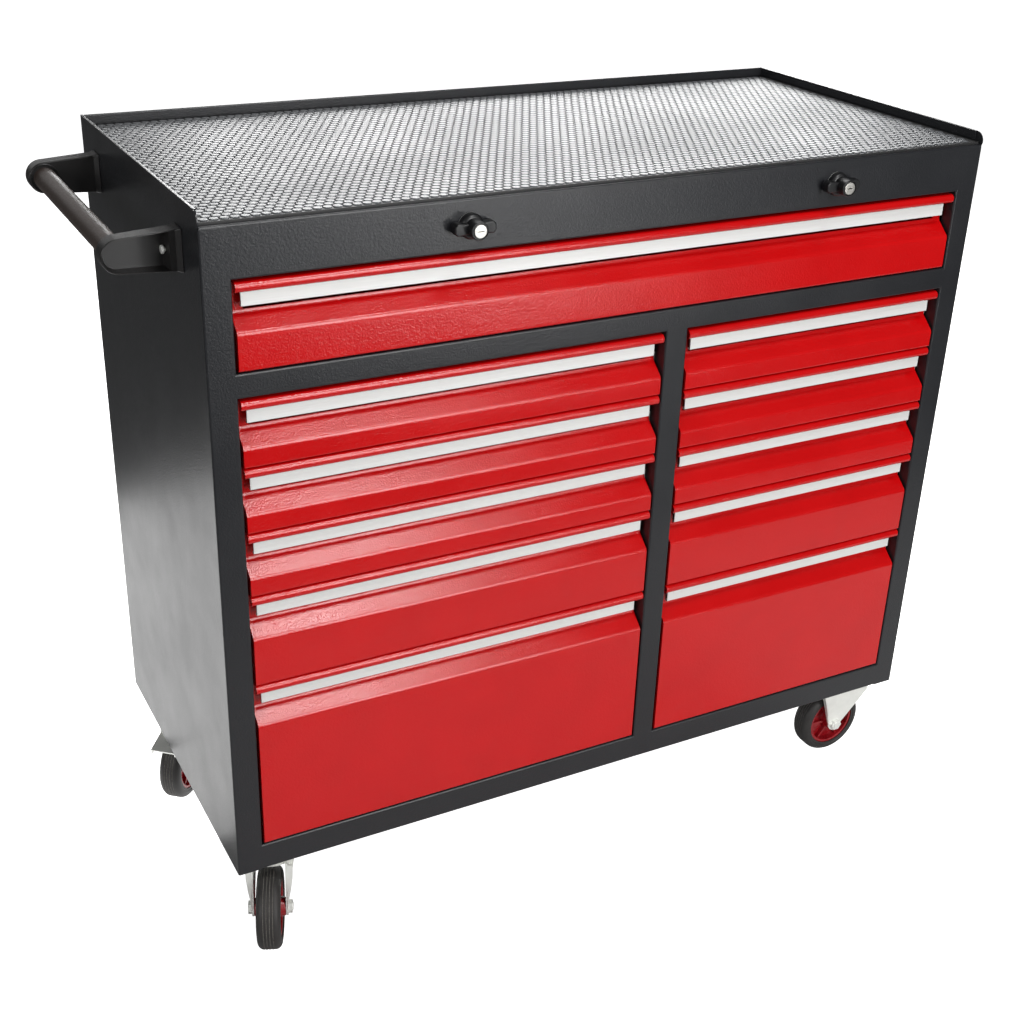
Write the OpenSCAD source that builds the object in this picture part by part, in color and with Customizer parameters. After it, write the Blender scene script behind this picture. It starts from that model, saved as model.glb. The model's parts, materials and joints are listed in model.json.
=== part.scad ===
// Drawer tool cabinet on casters.
// A folded sheet carcass holds one wide drawer over two columns of drawers.
// Millimetres, +Z up, front towards -Y. The origin lies on the floor,
// under the middle of the overall box.

/* [Carcass] */
// Width of the carcass over the side panels
cabinet_w = 1000; // [900:1:1200]
// Depth of the carcass from the front frame to the back panel
cabinet_d = 460; // [420:1:600]
// Thickness of the carcass sheet
sheet_t = 1.5; // [1:0.1:2]
// Width of each front stile
stile_w = 31; // [26:0.5:45]
// Depth of the folded edges behind the front frame
frame_return = 18; // [10:1:20]
// Height of the rail below the drawers
bottom_rail_h = 35; // [25:1:60]
// Height of the rail under the wide drawer
mid_rail_h = 27; // [15:1:50]
// Height of the fascia that carries the locks
fascia_h = 56; // [52:1:90]
// Width of the divider between the columns
divider_w = 30; // [20:1:50]
// Height of the lip above the deck
lip_h = 15; // [6:1:40]
// Slanted cut at the front end of each side lip
lip_chamfer = 13; // [3:1:30]
// Width of the flange that joins a side panel to the back panel
back_flange_w = 25; // [15:1:35]

/* [Worktop mat] */
// Thickness of the rubber mat
mat_t = 3; // [2:0.5:6]
// Bare strip of deck in front of the mat
mat_setback = 5; // [0:1:30]
// Gap between the mat and the lips
mat_gap = 0.5; // [0.3:0.1:5]

/* [Drawers] */
// Width of the opening of the left column
left_column_w = 519; // [400:1:560]
// Height of the wide drawer's front
wide_front_h = 94; // [90:0.5:140]
// Height of the front of each of the three shallow drawers in a column
small_front_h = 75.5; // [74:0.5:100]
// Height of the front of the medium drawer in a column
medium_front_h = 113.5; // [80:0.5:150]
// Height of the front of the deep drawer in a column
deep_front_h = 220.5; // [120:0.5:260]
// Gap below each drawer front
front_gap = 1.5; // [1:0.5:4]
// Gap above the uppermost front of an opening
top_gap = 3.5; // [2:0.5:8]
// Gap at each end of a drawer front
side_gap = 3; // [1:0.5:6]
// Thickness of the drawer sheet
drawer_t = 1.2; // [0.8:0.1:1.6]
// Room between the drawers' back walls and the back of the carcass
drawer_back_gap = 40; // [34:1:80]
// Drop from the top edge of a front to its bend line
bend_drop = 53; // [50:0.5:60]
// Height of the slope that leads back into the finger recess
slope_rise = 16.5; // [10:0.5:18]
// Depth of the finger recess
recess_d = 19; // [16:0.5:22]
// Radius of the rolled nose along the top edge
nose_r = 5.5; // [4:0.25:6.5]
// How far the nose stands in front of the frame
nose_proud = 1; // [0:0.25:3]
// Height of the tray's floor above the bottom edge of the front
tray_lift = 5; // [2:0.5:8]
// Drop from the top edge of a front to the tray's rim
tray_drop = 14; // [6:1:20]

/* [Pull strips] */
// Wall of the aluminium strip
pull_t = 1.8; // [1:0.1:2.5]
// Depth of the strip's face behind the front plane
pull_setback = 7.5; // [6.5:0.25:9]
// Drop from the top edge of a front to the strip's lower edge
pull_drop = 27.5; // [20:0.5:30]
// Gap between the end of a front and the end of its strip
pull_inset = 7.6; // [0:0.2:20]
// Depth of the strip's lower lip
pull_lip = 5; // [3:0.5:6]

/* [Slides] */
// Room for one slide between the tray and the carcass
slide_space = 12.7; // [11:0.1:16]
// Height of the outer slide member
slide_h = 35; // [24:1:40]
// Thickness of the slide's sheet
slide_t = 1.2; // [0.8:0.1:1.6]
// Depth of the front end of the slide behind the front plane
slide_setback = 21; // [21:0.5:24]
// Gap between the edge of a slide's flange and the web of its partner
slide_tip_gap = 2; // [0.5:0.1:4]
// Running gap between the slide's members
slide_play = 0.4; // [0.2:0.05:0.9]
// Height of the slide's centre above the bottom edge of a front
slide_lift = 30; // [28:0.5:34]
// Width of each post that carries the slides, along the side panel
post_w = 30; // [15:1:40]
// Depth of each post, away from the slides
post_d = 16; // [8:0.5:20]

/* [Push handle] */
// Depth of the handle's front face behind the front plane
handle_y = 57; // [30:1:80]
// Distance of the handle's rear face from the back of the carcass
handle_rear = 55; // [20:1:120]
// Drop from the deck to the handle's bar
handle_drop = 38; // [26:1:80]
// Distance of the bar's axis from the side panel
handle_reach = 63; // [50:1:90]
// Diameter of the bar
bar_d = 25; // [18:0.5:28]
// Depth that the bar enters each bracket
bar_seat = 9; // [5:0.5:10]
// Gap around the bar in its seats, on the radius
bar_play = 0.05; // [0.02:0.01:0.1]
// Thickness of each bracket's arm
arm_t = 20; // [19:0.5:30]
// Radius of the arm's round end
arm_end_r = 18; // [17:0.5:24]
// Height of the arm where it meets its foot
arm_root_h = 44; // [40:1:60]
// Thickness of the bracket's foot
foot_t = 5; // [3:0.5:8]
// Height of the bracket's foot
foot_h = 46; // [45:1:64]
// Depth of the bracket's foot along the panel
foot_l = 26; // [24:1:50]
// Depth of the pocket in the bracket's outer face
pocket_d = 8; // [3:0.5:9]
// Rim around the pocket
pocket_rim = 4; // [2:0.5:6]
// Distance of the pocket from the panel
pocket_root = 16; // [12:0.5:24]
// Diameter of the handle screws
screw_d = 5; // [3:0.5:6]
// Diameter of the handle screws' heads
screw_head_d = 9; // [7:0.5:11]
// Height of the handle screws' heads
screw_head_h = 3; // [2:0.25:5]

/* [Locks] */
// Drop from the deck to the locks' axes
lock_drop = 28; // [24:1:30]
// Diameter of the lock's shaft in the fascia
lock_shaft_d = 16; // [12:0.5:18]
// Diameter of the knob's round base
knob_base_d = 28; // [22:0.5:34]
// Height of the knob's round base
knob_base_h = 9; // [5:0.5:12]
// Diameter of the knob's barrel
knob_barrel_d = 20; // [17:0.5:22]
// How far the barrel stands out of the fascia
knob_reach = 25; // [20:0.5:32]
// Width over the knob's wings
wing_w = 46; // [36:1:60]
// Height of the knob's wings
wing_h = 12.5; // [8:0.5:18]
// How far the wings stand out of the fascia
wing_reach = 15; // [12:0.5:18]
// Diameter of the key cylinder
key_d = 13; // [8:0.5:14]
// How far the key cylinder stands out of the barrel
key_proud = 0.8; // [0.2:0.1:2]
// Depth of the key cylinder in the barrel
key_depth = 18; // [10:0.5:19]
// Lift of a lock bar when its knob turns a quarter
lock_lift = 10; // [6:0.5:12]
// Diameter of the crank's pin
crank_pin_d = 5; // [3:0.25:6]
// Thickness of the crank and of the lock bars
lock_bar_t = 3; // [2:0.25:4]
// Width of the lock bars
lock_bar_w = 18; // [12:0.5:24]
// Gap between the back panel and a lock bar
lock_bar_gap = 6; // [3:0.5:8]
// Length of the hooks and catches that hold a drawer
catch_l = 14; // [10:0.5:16]
// Height of the lips on the hooks and catches
catch_h = 8; // [5:0.5:9]
// Gap between a resting hook and the catch above it, and between hook and catch when they hold
catch_gap = 3; // [2:0.25:4]

/* [Casters] */
// Diameter of the wheels
wheel_d = 102; // [90:1:130]
// Width of the tread
tread_w = 30; // [25:0.5:36]
// Height of the tyre above the rim
tyre_h = 13.5; // [10:0.5:18]
// Gap between the tyre and the crown of the fork
tyre_gap = 9.5; // [8:0.5:25]
// Radius of the tyre's shoulders
shoulder_r = 4.5; // [2:0.25:5.5]
// Width of the grooves in the tread
groove_w = 1.6; // [0.8:0.1:2.5]
// Depth of the grooves in the tread
groove_depth = 1.4; // [0.5:0.1:2]
// How far the tyre overlaps the rim on each side
rim_inset = 2; // [1:0.25:5]
// Wall of the rim under the tyre
rim_wall = 4; // [3:0.25:6]
// Thickness of the wheel's web
web_t = 6; // [4:0.5:10]
// Thickness of the wheel's ribs
rib_t = 3; // [2:0.25:5]
// Diameter of the wheel's hub
hub_d = 28; // [22:0.5:36]
// How far the hub stands out of the tyre on each side
hub_proud = 4; // [2:0.25:8]
// Diameter of the axle bolts
axle_d = 10; // [8:0.5:12]
// Running gap around shafts, on the radius
running_play = 0.05; // [0.02:0.01:0.1]
// Gap between a hub and its fork
hub_gap = 0.5; // [0.3:0.1:1]
// Thickness of the fork's sheet
fork_t = 2.5; // [2:0.1:4]
// Distance of the swivel axis from the wheel's axle
trail = 38; // [25:1:45]
// Distance of a fixed caster's axle from the middle of its plate
fixed_trail = 10; // [0:1:20]
// Distance of the casters from the carcass sides
caster_inset_x = 57; // [54:1:120]
// Distance of the front casters from the carcass front
caster_inset_y = 52; // [50:1:120]
// Distance of the rear casters from the carcass back
caster_inset_rear = 76; // [50:1:120]
// Direction that the front swivel caster trails, from +X
front_turn = 247; // [0:1:359]
// Direction that the rear swivel caster trails, from +X
rear_turn = 230; // [0:1:359]
// Thickness of the casters' plates
plate_t = 3; // [2:0.25:5]
// Distance between the casters' bolts along the plate
bolt_span_l = 80; // [70:1:100]
// Distance of the bolts from the plate's edges
bolt_margin = 11; // [8:0.5:15]
// Diameter of the casters' bolts
bolt_d = 8; // [6:0.5:10]
// Gap between the bolts' nuts and the fork
nut_gap = 0.8; // [0.5:0.1:4]
// Height of each race of the swivel head
race_h = 5.5; // [5:0.25:8]
// Diameter of the swivel head
race_d = 64; // [50:1:68]
// Running gap between the races
race_gap = 0.3; // [0.2:0.05:0.8]
// Diameter of the kingpin
kingpin_d = 12; // [10:0.5:16]
// Radius of the fork's crown
crown_r = 36; // [32:0.5:40]

/* [Brake pedal] */
// Distance of the pedal's pivot behind the axle
pedal_behind = 10; // [6:0.5:16]
// Drop from the top of the fork to the pedal's pivot
pedal_drop = 5; // [3:0.25:6]
// Diameter of the pedal's pivot pin
pedal_pin_d = 6; // [4:0.5:7]
// Length of the pedal from its pivot
pedal_l = 48; // [30:1:60]
// Width of the pedal
pedal_w = 36; // [30:1:37]
// Slope of the pedal at rest
pedal_slope = 10; // [5:1:20]
// Angle that the pedal tips until its shoe meets the tyre
pedal_tip = 12; // [8:1:16]

/* [Hidden] */
$fn = 64;
eps = 0.01;

BLACK = "#2a2b2e";
RED = "#c4161c";
ALUMINIUM = "#d5d6d6";
ZINC = "#b9bec2";
RUBBER = "#232323";
MAT = "#4a4c50";
HANDLE = "#2b2725";
RIM = "#a3121a";
KNOB = "#1c1c1e";

// Casters, from the floor up
wheel_r = wheel_d / 2;
crown_z = wheel_d + tyre_gap + fork_t;
plate_z = crown_z + 2 * race_h;
caster_h = plate_z + plate_t;

// Heights, from the floor up
carcass_z = caster_h;
column_z = carcass_z + bottom_rail_h;
column_h = 3 * small_front_h + medium_front_h + deep_front_h + 5 * front_gap + top_gap;
mid_rail_z = column_z + column_h;
wide_z = mid_rail_z + mid_rail_h;
wide_h = wide_front_h + front_gap + top_gap;
fascia_z = wide_z + wide_h;
deck_z = fascia_z + fascia_h;
lip_z = deck_z + lip_h;
floor_top_z = carcass_z + sheet_t;
deck_under_z = deck_z - sheet_t;

// Widths, from the left side panel
inner_w = cabinet_w - 2 * stile_w;
right_x = cabinet_w - stile_w;
divider_x = stile_w + left_column_w;
right_column_x = divider_x + divider_w;
right_column_w = right_x - right_column_x;
back_y = cabinet_d - sheet_t;
drawer_depth = cabinet_d - drawer_back_gap;
slide_l = drawer_depth - slide_setback;
slide_flange = slide_space - slide_t - slide_tip_gap;

// Each drawer: name, left end of its opening, width of its opening, bottom and height of its front
SIDES = [["left", stile_w, left_column_w], ["right", right_column_x, right_column_w]];
FRONT_HEIGHTS = [small_front_h, small_front_h, small_front_h, medium_front_h, deep_front_h];
function front_z(row) = row == len(FRONT_HEIGHTS) - 1
    ? column_z + front_gap
    : front_z(row + 1) + FRONT_HEIGHTS[row + 1] + front_gap;
WIDE = ["top", stile_w, inner_w, wide_z + front_gap, wide_front_h];
DRAWERS = concat([WIDE], [
    for (side = SIDES)
        for (row = [0:len(FRONT_HEIGHTS) - 1])
            [str(side[0], "_", row + 1), side[1], side[2], front_z(row), FRONT_HEIGHTS[row]]
]);
function drawer_top(d) = d[3] + d[4];
function drawer_bend(d) = drawer_top(d) - bend_drop;
function slide_z(d) = d[3] + slide_lift;
function tray_x(d) = d[1] + slide_space;
function tray_w(d) = d[2] - 2 * slide_space;
function front_x(d) = d[1] + side_gap;
function front_w(d) = d[2] - 2 * side_gap;
tray_y = recess_d + drawer_t;

// Locks and lock bars
lock_z = deck_z - lock_drop;
left_lock_x = stile_w + left_column_w / 2;
right_lock_x = right_column_x + right_column_w / 2;
lock_bar_y = back_y - lock_bar_gap - lock_bar_t;
crank_y = 12;
crank_clear = 3;
crank_rim = 2;
key_slot_w = 1.2;
key_slot_l = 2 * key_d / 3;
key_slot_d = 4;
wing_back = knob_base_h / 3;
slot_h = crank_pin_d + 2 * crank_clear;
arm_h = slot_h + 2 * lock_bar_t;
bridge_h = 14;
bridge_play = 0.3;
bridge_zs = [column_z + deep_front_h / 2, fascia_z - 2 * bridge_h];
hook_y = lock_bar_y - catch_l;
hook_h = lock_lift + lock_bar_t;
catch_y = hook_y + lock_bar_t + catch_gap;
function catch_z(d) = d[3] + tray_lift + 2 * catch_h;

// Handle
handle_z = deck_z - handle_drop;
handle_l = cabinet_d - handle_rear - handle_y;
bracket_starts = [handle_y, handle_y + handle_l - arm_t];
screw_reach = 6;
screw_l = pocket_root + sheet_t + screw_reach;
screw_clear = 0.2;

// Casters
rim_r = wheel_r - tyre_h;
rim_w = tread_w - 2 * rim_inset;
hub_l = tread_w + 2 * hub_proud;
axle_r = axle_d / 2;
fork_in = hub_l / 2 + hub_gap;
fork_out = fork_in + fork_t;
bolt_head_h = 5;
nut_h = 6;
bolt_clear = 0.2;
nut_d = 1.8 * bolt_d;
bolt_span_w = 2 * (fork_out + nut_d / 2 + nut_gap);
plate_l = bolt_span_l + 2 * bolt_margin;
plate_w = bolt_span_w + 2 * bolt_margin;
kingpin_head_d = 1.6 * kingpin_d;
axle_head_d = 1.7 * axle_d;
axle_nut_h = 5;
axle_end_r = 11;
leg_top = 34;
leg_skirt = 8;
fixed_leg_top = 45;
fixed_leg_skirt = 27;
rib_count = 6;
rib_inset = 2;
rib_bite = 1;
pedal_u = trail + pedal_behind;
pedal_z = crown_z - pedal_drop;
pedal_ear_r = 7;
pedal_t = 2.5;
pedal_barrel_r = pedal_pin_d / 2 + pedal_t;
pedal_skirt = 7;
shoe_l = 12;
shoe_w = tread_w - 2 * shoulder_r;
shoe_gap = 0.3;
shoe_slope = pedal_slope + pedal_tip;
shoe_u = (pedal_z - wheel_r) * sin(shoe_slope) - pedal_behind * cos(shoe_slope);
shoe_drop = (pedal_z - wheel_r) * cos(shoe_slope) + pedal_behind * sin(shoe_slope) - wheel_r - shoe_gap;
fixed_turn = 180;
left_caster_x = caster_inset_x;
right_caster_x = cabinet_w - caster_inset_x;
front_caster_y = caster_inset_y;
rear_caster_y = cabinet_d - caster_inset_rear;

// Middle of the overall box, seen from above
reach_left = handle_reach + arm_end_r;
reach_right = max(0, wheel_r - fixed_trail - caster_inset_x);
tyre_ahead = (wheel_r - shoulder_r) * abs(sin(front_turn)) + (tread_w / 2 - shoulder_r) * abs(cos(front_turn));
wheel_ahead = shoulder_r + tyre_ahead - trail * sin(front_turn);
reach_front = max(knob_reach + key_proud, wheel_ahead - front_caster_y);
frame_x = (cabinet_w + reach_right - reach_left) / 2;
frame_y = (cabinet_d - reach_front) / 2;

// Puts what is drawn from the carcass's front left corner into the part's frame
module in_frame() {
    translate([-frame_x, -frame_y, 0]) children();
}

// Extrudes a section drawn as (depth, height) along the width
module along_x(x, l) {
    translate([x, 0, 0]) rotate([90, 0, 90]) linear_extrude(l) children();
}

// Extrudes a section drawn as (width, height) along the depth
module along_y(y, l) {
    translate([0, y + l, 0]) rotate([90, 0, 0]) linear_extrude(l) children();
}

// A box given by its lowest corner and its size
module block(at, size) {
    translate(at) cube(size);
}

// A rod along the depth, from y to y + l
module rod_y(x, y, z, r, l) {
    translate([x, y, z]) rotate([-90, 0, 0]) cylinder(r = r, h = l);
}

// A rod along the width, from x to x + l
module rod_x(x, y, z, r, l) {
    translate([x, y, z]) rotate([0, 90, 0]) cylinder(r = r, h = l);
}

// Carcass

module side_panel() {
    // wall with the slanted lip end
    along_x(0, sheet_t) polygon([
        [0, carcass_z], [cabinet_d, carcass_z], [cabinet_d, lip_z],
        [lip_chamfer, lip_z], [0, deck_z]
    ]);
    block([0, 0, carcass_z], [stile_w, sheet_t, deck_under_z - carcass_z]);
    translate([0, 0, floor_top_z]) linear_extrude(deck_under_z - floor_top_z) {
        translate([stile_w - sheet_t, 0]) square([sheet_t, frame_return]);
        translate([0, back_y - sheet_t]) square([back_flange_w, sheet_t]);
    }
}

module left_side_panel() {
    color(BLACK) in_frame() difference() {
        side_panel();
        for (y = bracket_starts)
            rod_x(-eps, y + arm_t / 2, handle_z, screw_d / 2 + screw_clear, sheet_t + 2 * eps);
    }
}

module right_side_panel() {
    color(BLACK) in_frame() translate([cabinet_w, 0, 0]) mirror([1, 0, 0]) side_panel();
}

// Strap that holds a lock bar against the back panel and lets it slide up and down
module bridge(x, z) {
    gap_w = lock_bar_w + 2 * bridge_play;
    front = lock_bar_y - bridge_play;
    translate([x, 0, z]) linear_extrude(bridge_h) {
        translate([-gap_w / 2 - sheet_t, front - sheet_t]) square([gap_w + 2 * sheet_t, sheet_t]);
        for (side = [-gap_w / 2 - sheet_t, gap_w / 2])
            translate([side, front - sheet_t]) square([sheet_t, back_y - front + sheet_t + eps]);
        translate([-gap_w / 2, back_y - lock_bar_gap + bridge_play])
            square([gap_w, lock_bar_gap - bridge_play + eps]);
    }
}

module back_panel() {
    color(BLACK) in_frame() {
        block([sheet_t, back_y, carcass_z], [cabinet_w - 2 * sheet_t, sheet_t, lip_z - carcass_z]);
        for (x = [left_lock_x, right_lock_x])
            for (z = bridge_zs) bridge(x, z);
    }
}

module base_pan() {
    color(BLACK) in_frame() difference() {
        union() {
            block([sheet_t, sheet_t, carcass_z],
                  [cabinet_w - 2 * sheet_t, back_y - sheet_t, sheet_t]);
            block([stile_w, 0, carcass_z], [inner_w, sheet_t, bottom_rail_h]);
            block([stile_w, 0, column_z - sheet_t], [inner_w, frame_return, sheet_t]);
        }
        at_plate_bolts() translate([0, 0, -eps])
            cylinder(d = bolt_d + 2 * bolt_clear, h = sheet_t + 2 * eps);
    }
}

module worktop_deck() {
    color(BLACK) in_frame() difference() {
        union() {
            block([sheet_t, 0, deck_under_z], [cabinet_w - 2 * sheet_t, back_y, sheet_t]);
            block([stile_w, 0, fascia_z], [inner_w, sheet_t, fascia_h]);
            block([stile_w, 0, fascia_z], [inner_w, frame_return, sheet_t]);
        }
        for (x = [left_lock_x, right_lock_x])
            rod_y(x, -eps, lock_z, lock_shaft_d / 2 + running_play, sheet_t + 2 * eps);
    }
}

module mid_rail() {
    color(BLACK) in_frame() {
        block([stile_w, 0, mid_rail_z], [inner_w, sheet_t, mid_rail_h]);
        for (z = [mid_rail_z, wide_z - sheet_t])
            block([stile_w, 0, z], [inner_w, frame_return, sheet_t]);
    }
}

module centre_divider() {
    color(BLACK) in_frame() {
        block([divider_x, 0, column_z], [divider_w, sheet_t, column_h]);
        for (x = [divider_x, right_column_x - sheet_t])
            difference() {
                block([x, 0, floor_top_z], [sheet_t, back_y, mid_rail_z - floor_top_z]);
                block([x - eps, -eps, floor_top_z - eps],
                      [sheet_t + 2 * eps, frame_return + eps, bottom_rail_h - sheet_t + eps]);
            }
    }
}

// Channel that stands behind a stile, with its web in the plane of the openings
module post(y) {
    translate([stile_w - post_d, y - post_w / 2, floor_top_z])
        linear_extrude(deck_under_z - floor_top_z)
            difference() {
                square([post_d, post_w]);
                translate([-eps, sheet_t]) square([post_d - sheet_t + eps, post_w - 2 * sheet_t]);
            }
}

module slide_posts() {
    color(ZINC) in_frame()
        for (y = [front_caster_y, rear_caster_y]) {
            post(y);
            translate([cabinet_w, 0, 0]) mirror([1, 0, 0]) post(y);
        }
}

// Outer slide member, with its back against x = 0 and its channel towards +X
module outer_rail(z) {
    translate([0, 0, z]) along_y(slide_setback, slide_l) difference() {
        translate([0, -slide_h / 2]) square([slide_flange, slide_h]);
        translate([slide_t, -slide_h / 2 + slide_t])
            square([slide_flange, slide_h - 2 * slide_t]);
    }
}

module slide_outer_rails() {
    color(ZINC) in_frame()
        for (d = DRAWERS) {
            translate([d[1], 0, 0]) outer_rail(slide_z(d));
            translate([d[1] + d[2], 0, 0]) mirror([1, 0, 0]) outer_rail(slide_z(d));
        }
}

module worktop_mat() {
    color(MAT) in_frame()
        block([sheet_t + mat_gap, mat_setback, deck_z],
              [cabinet_w - 2 * (sheet_t + mat_gap), back_y - mat_gap - mat_setback, mat_t]);
}

// Drawers

// Folded front, drawn as (depth, height) from its bottom edge up to its top edge
module front_section(d) {
    top = drawer_top(d);
    bend = drawer_bend(d);
    nose = [nose_r - nose_proud, top - nose_r];
    translate([0, d[3]]) square([drawer_t, bend - d[3]]);
    translate([0, d[3]]) square([tray_y, drawer_t]);
    polygon([[0, bend], [recess_d, bend + slope_rise], [tray_y, bend + slope_rise], [drawer_t, bend]]);
    translate([recess_d, bend + slope_rise]) square([drawer_t, top - bend - slope_rise]);
    translate([nose[0], top - drawer_t]) square([tray_y - nose[0], drawer_t]);
    difference() {
        translate(nose) circle(r = nose_r);
        translate(nose) circle(r = nose_r - drawer_t);
        translate([nose[0], nose[1] - nose_r - eps]) square(2 * nose_r + 2 * eps);
    }
}

// Flat cap that closes one end of the hollow below the finger recess
module front_end(d) {
    polygon([[0, d[3]], [tray_y, d[3]], [tray_y, drawer_bend(d) + slope_rise],
             [recess_d, drawer_bend(d) + slope_rise], [0, drawer_bend(d)]]);
}

// Bent tab behind the tray that a lock bar's hook catches
module catch(x, z) {
    translate([x - lock_bar_w / 2, 0, 0]) {
        block([0, drawer_depth - eps, z], [lock_bar_w, catch_y + lock_bar_t - drawer_depth + eps, lock_bar_t]);
        block([0, catch_y, z - catch_h], [lock_bar_w, lock_bar_t, catch_h + eps]);
    }
}

// Lock bars that hold a drawer: the wide one is held by both
function catch_xs(d) = d[0] == "top"
    ? [left_lock_x, right_lock_x]
    : d[1] < divider_x ? [left_lock_x] : [right_lock_x];

module drawer(d) {
    tray_z = d[3] + tray_lift;
    tray_h = drawer_top(d) - tray_drop - tray_z;
    color(RED) in_frame() {
        along_x(front_x(d), front_w(d)) front_section(d);
        for (x = [front_x(d), front_x(d) + front_w(d) - drawer_t])
            along_x(x, drawer_t) front_end(d);
        difference() {
            block([tray_x(d), recess_d, tray_z], [tray_w(d), drawer_depth - recess_d, tray_h]);
            block([tray_x(d) + drawer_t, tray_y, tray_z + drawer_t],
                  [tray_w(d) - 2 * drawer_t, drawer_depth - tray_y - drawer_t, tray_h]);
        }
        for (x = catch_xs(d)) catch(x, catch_z(d));
    }
}

// Aluminium strip, drawn as (depth, height), that hangs from the top flange of a front
module pull_section(top) {
    bottom = top - pull_drop;
    seat = top - drawer_t;
    translate([pull_setback, bottom]) square([pull_t, seat - bottom]);
    translate([pull_setback, seat - pull_t]) square([recess_d - pull_setback, pull_t]);
    translate([pull_setback, bottom]) square([pull_lip, pull_t]);
}

module pull(d) {
    color(ALUMINIUM) in_frame()
        along_x(front_x(d) + pull_inset, front_w(d) - 2 * pull_inset) pull_section(drawer_top(d));
}

// Inner slide member, with its back against the tray at x = slide_space
module inner_rail(z) {
    h = slide_h - 2 * (slide_t + slide_play);
    w = slide_flange;
    translate([slide_space - w, 0, z]) along_y(slide_setback, slide_l) difference() {
        translate([0, -h / 2]) square([w, h]);
        translate([-slide_t, -h / 2 + slide_t]) square([w, h - 2 * slide_t]);
    }
}

module slides(d) {
    color(ZINC) in_frame() {
        translate([d[1], 0, 0]) inner_rail(slide_z(d));
        translate([d[1] + d[2], 0, 0]) mirror([1, 0, 0]) inner_rail(slide_z(d));
    }
}

// Push handle

// Outline of a bracket's arm, drawn as (width, height) about the bar's height
module arm_outline(root, root_h, end_r) {
    translate([-handle_reach, 0]) circle(r = end_r);
    polygon([[-root, -root_h / 2], [-root, root_h / 2], [-handle_reach, end_r], [-handle_reach, -end_r]]);
}

// Bracket with its pocket facing the front and its bar seat at the back
module bracket() {
    difference() {
        union() {
            along_y(0, arm_t) arm_outline(0, arm_root_h, arm_end_r);
            block([-foot_t, (arm_t - foot_l) / 2, -foot_h / 2], [foot_t, foot_l, foot_h]);
        }
        along_y(-eps, pocket_d + eps)
            arm_outline(pocket_root, arm_root_h - 2 * pocket_rim, arm_end_r - pocket_rim);
        rod_x(-pocket_root, arm_t / 2 - eps, 0, screw_d / 2 + screw_clear, pocket_root + eps);
        screw_well();
        rod_y(-handle_reach, arm_t - bar_seat, 0, bar_d / 2 + bar_play, bar_seat + eps);
    }
}

// Room for a screw's head at the root of the pocket
module screw_well() {
    rod_x(-pocket_root - screw_head_h, arm_t / 2, 0, screw_head_d / 2 + screw_clear, screw_head_h + eps);
}

module handle_brackets() {
    color(HANDLE) in_frame() translate([0, 0, handle_z]) {
        translate([0, bracket_starts[0], 0]) bracket();
        translate([0, bracket_starts[1] + arm_t, 0]) mirror([0, 1, 0]) bracket();
    }
}

module handle_bar() {
    color(HANDLE) in_frame()
        rod_y(-handle_reach, handle_y + arm_t - bar_seat, handle_z, bar_d / 2,
              handle_l - 2 * (arm_t - bar_seat));
}

module handle_screws() {
    color(ZINC) in_frame()
        for (y = bracket_starts) {
            rod_x(-pocket_root, y + arm_t / 2, handle_z, screw_d / 2, screw_l);
            rod_x(-pocket_root - screw_head_h, y + arm_t / 2, handle_z, screw_head_d / 2, screw_head_h);
        }
}

// Locks

module knob_body() {
    difference() {
        union() {
            rod_y(0, -knob_base_h, 0, knob_base_d / 2, knob_base_h);
            rod_y(0, -knob_reach, 0, knob_barrel_d / 2, knob_reach);
            for (side = [-1, 1])
                rod_y(side * (wing_w - wing_h) / 2, -wing_reach, 0, wing_h / 2, wing_reach - wing_back);
            block([-(wing_w - wing_h) / 2, -wing_reach, -wing_h / 2],
                  [wing_w - wing_h, wing_reach - wing_back, wing_h]);
        }
        rod_y(0, -knob_reach - eps, 0, key_d / 2, key_depth + eps);
    }
}

// Key cylinder, with its slot
module key_cylinder() {
    difference() {
        rod_y(0, -knob_reach - key_proud, 0, key_d / 2, key_depth + key_proud);
        block([-key_slot_l / 2, -knob_reach - key_proud - eps, -key_slot_w / 2],
              [key_slot_l, key_slot_d, key_slot_w]);
    }
}

// Shaft through the fascia, with the crank and pin that lift the lock bar
module crank() {
    rod_y(0, -eps, 0, lock_shaft_d / 2, crank_y + lock_bar_t + eps);
    rod_y(lock_lift, crank_y, 0, crank_pin_d / 2 + crank_rim, lock_bar_t);
    rod_y(lock_lift, crank_y, 0, crank_pin_d / 2, 3 * lock_bar_t);
}

module lock_knob(x) {
    color(KNOB) in_frame() translate([x, 0, lock_z]) {
        knob_body();
        crank();
        key_cylinder();
    }
}

// Bar behind the drawers, with an arm that runs forward over them to the crank
module lock_bar(x) {
    head_y = crank_y + 1.5 * lock_bar_t;
    head_w = 2 * (lock_lift + crank_pin_d / 2 + crank_clear + lock_bar_t);
    color(ZINC) in_frame() translate([x, 0, 0]) {
        block([-lock_bar_w / 2, lock_bar_y, floor_top_z + bridge_play],
              [lock_bar_w, lock_bar_t, lock_z + arm_h / 2 - floor_top_z - bridge_play]);
        block([-lock_bar_w / 2, head_y, lock_z + arm_h / 2 - lock_bar_t],
              [lock_bar_w, lock_bar_y - head_y + eps, lock_bar_t]);
        difference() {
            block([-head_w / 2, head_y, lock_z - arm_h / 2], [head_w, lock_bar_t, arm_h]);
            block([-head_w / 2 + lock_bar_t, head_y - eps, lock_z - slot_h / 2],
                  [head_w - 2 * lock_bar_t, lock_bar_t + 2 * eps, slot_h]);
        }
        for (d = DRAWERS)
            if (len([for (cx = catch_xs(d)) if (cx == x) cx]) > 0) hook(catch_z(d));
    }
}

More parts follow.
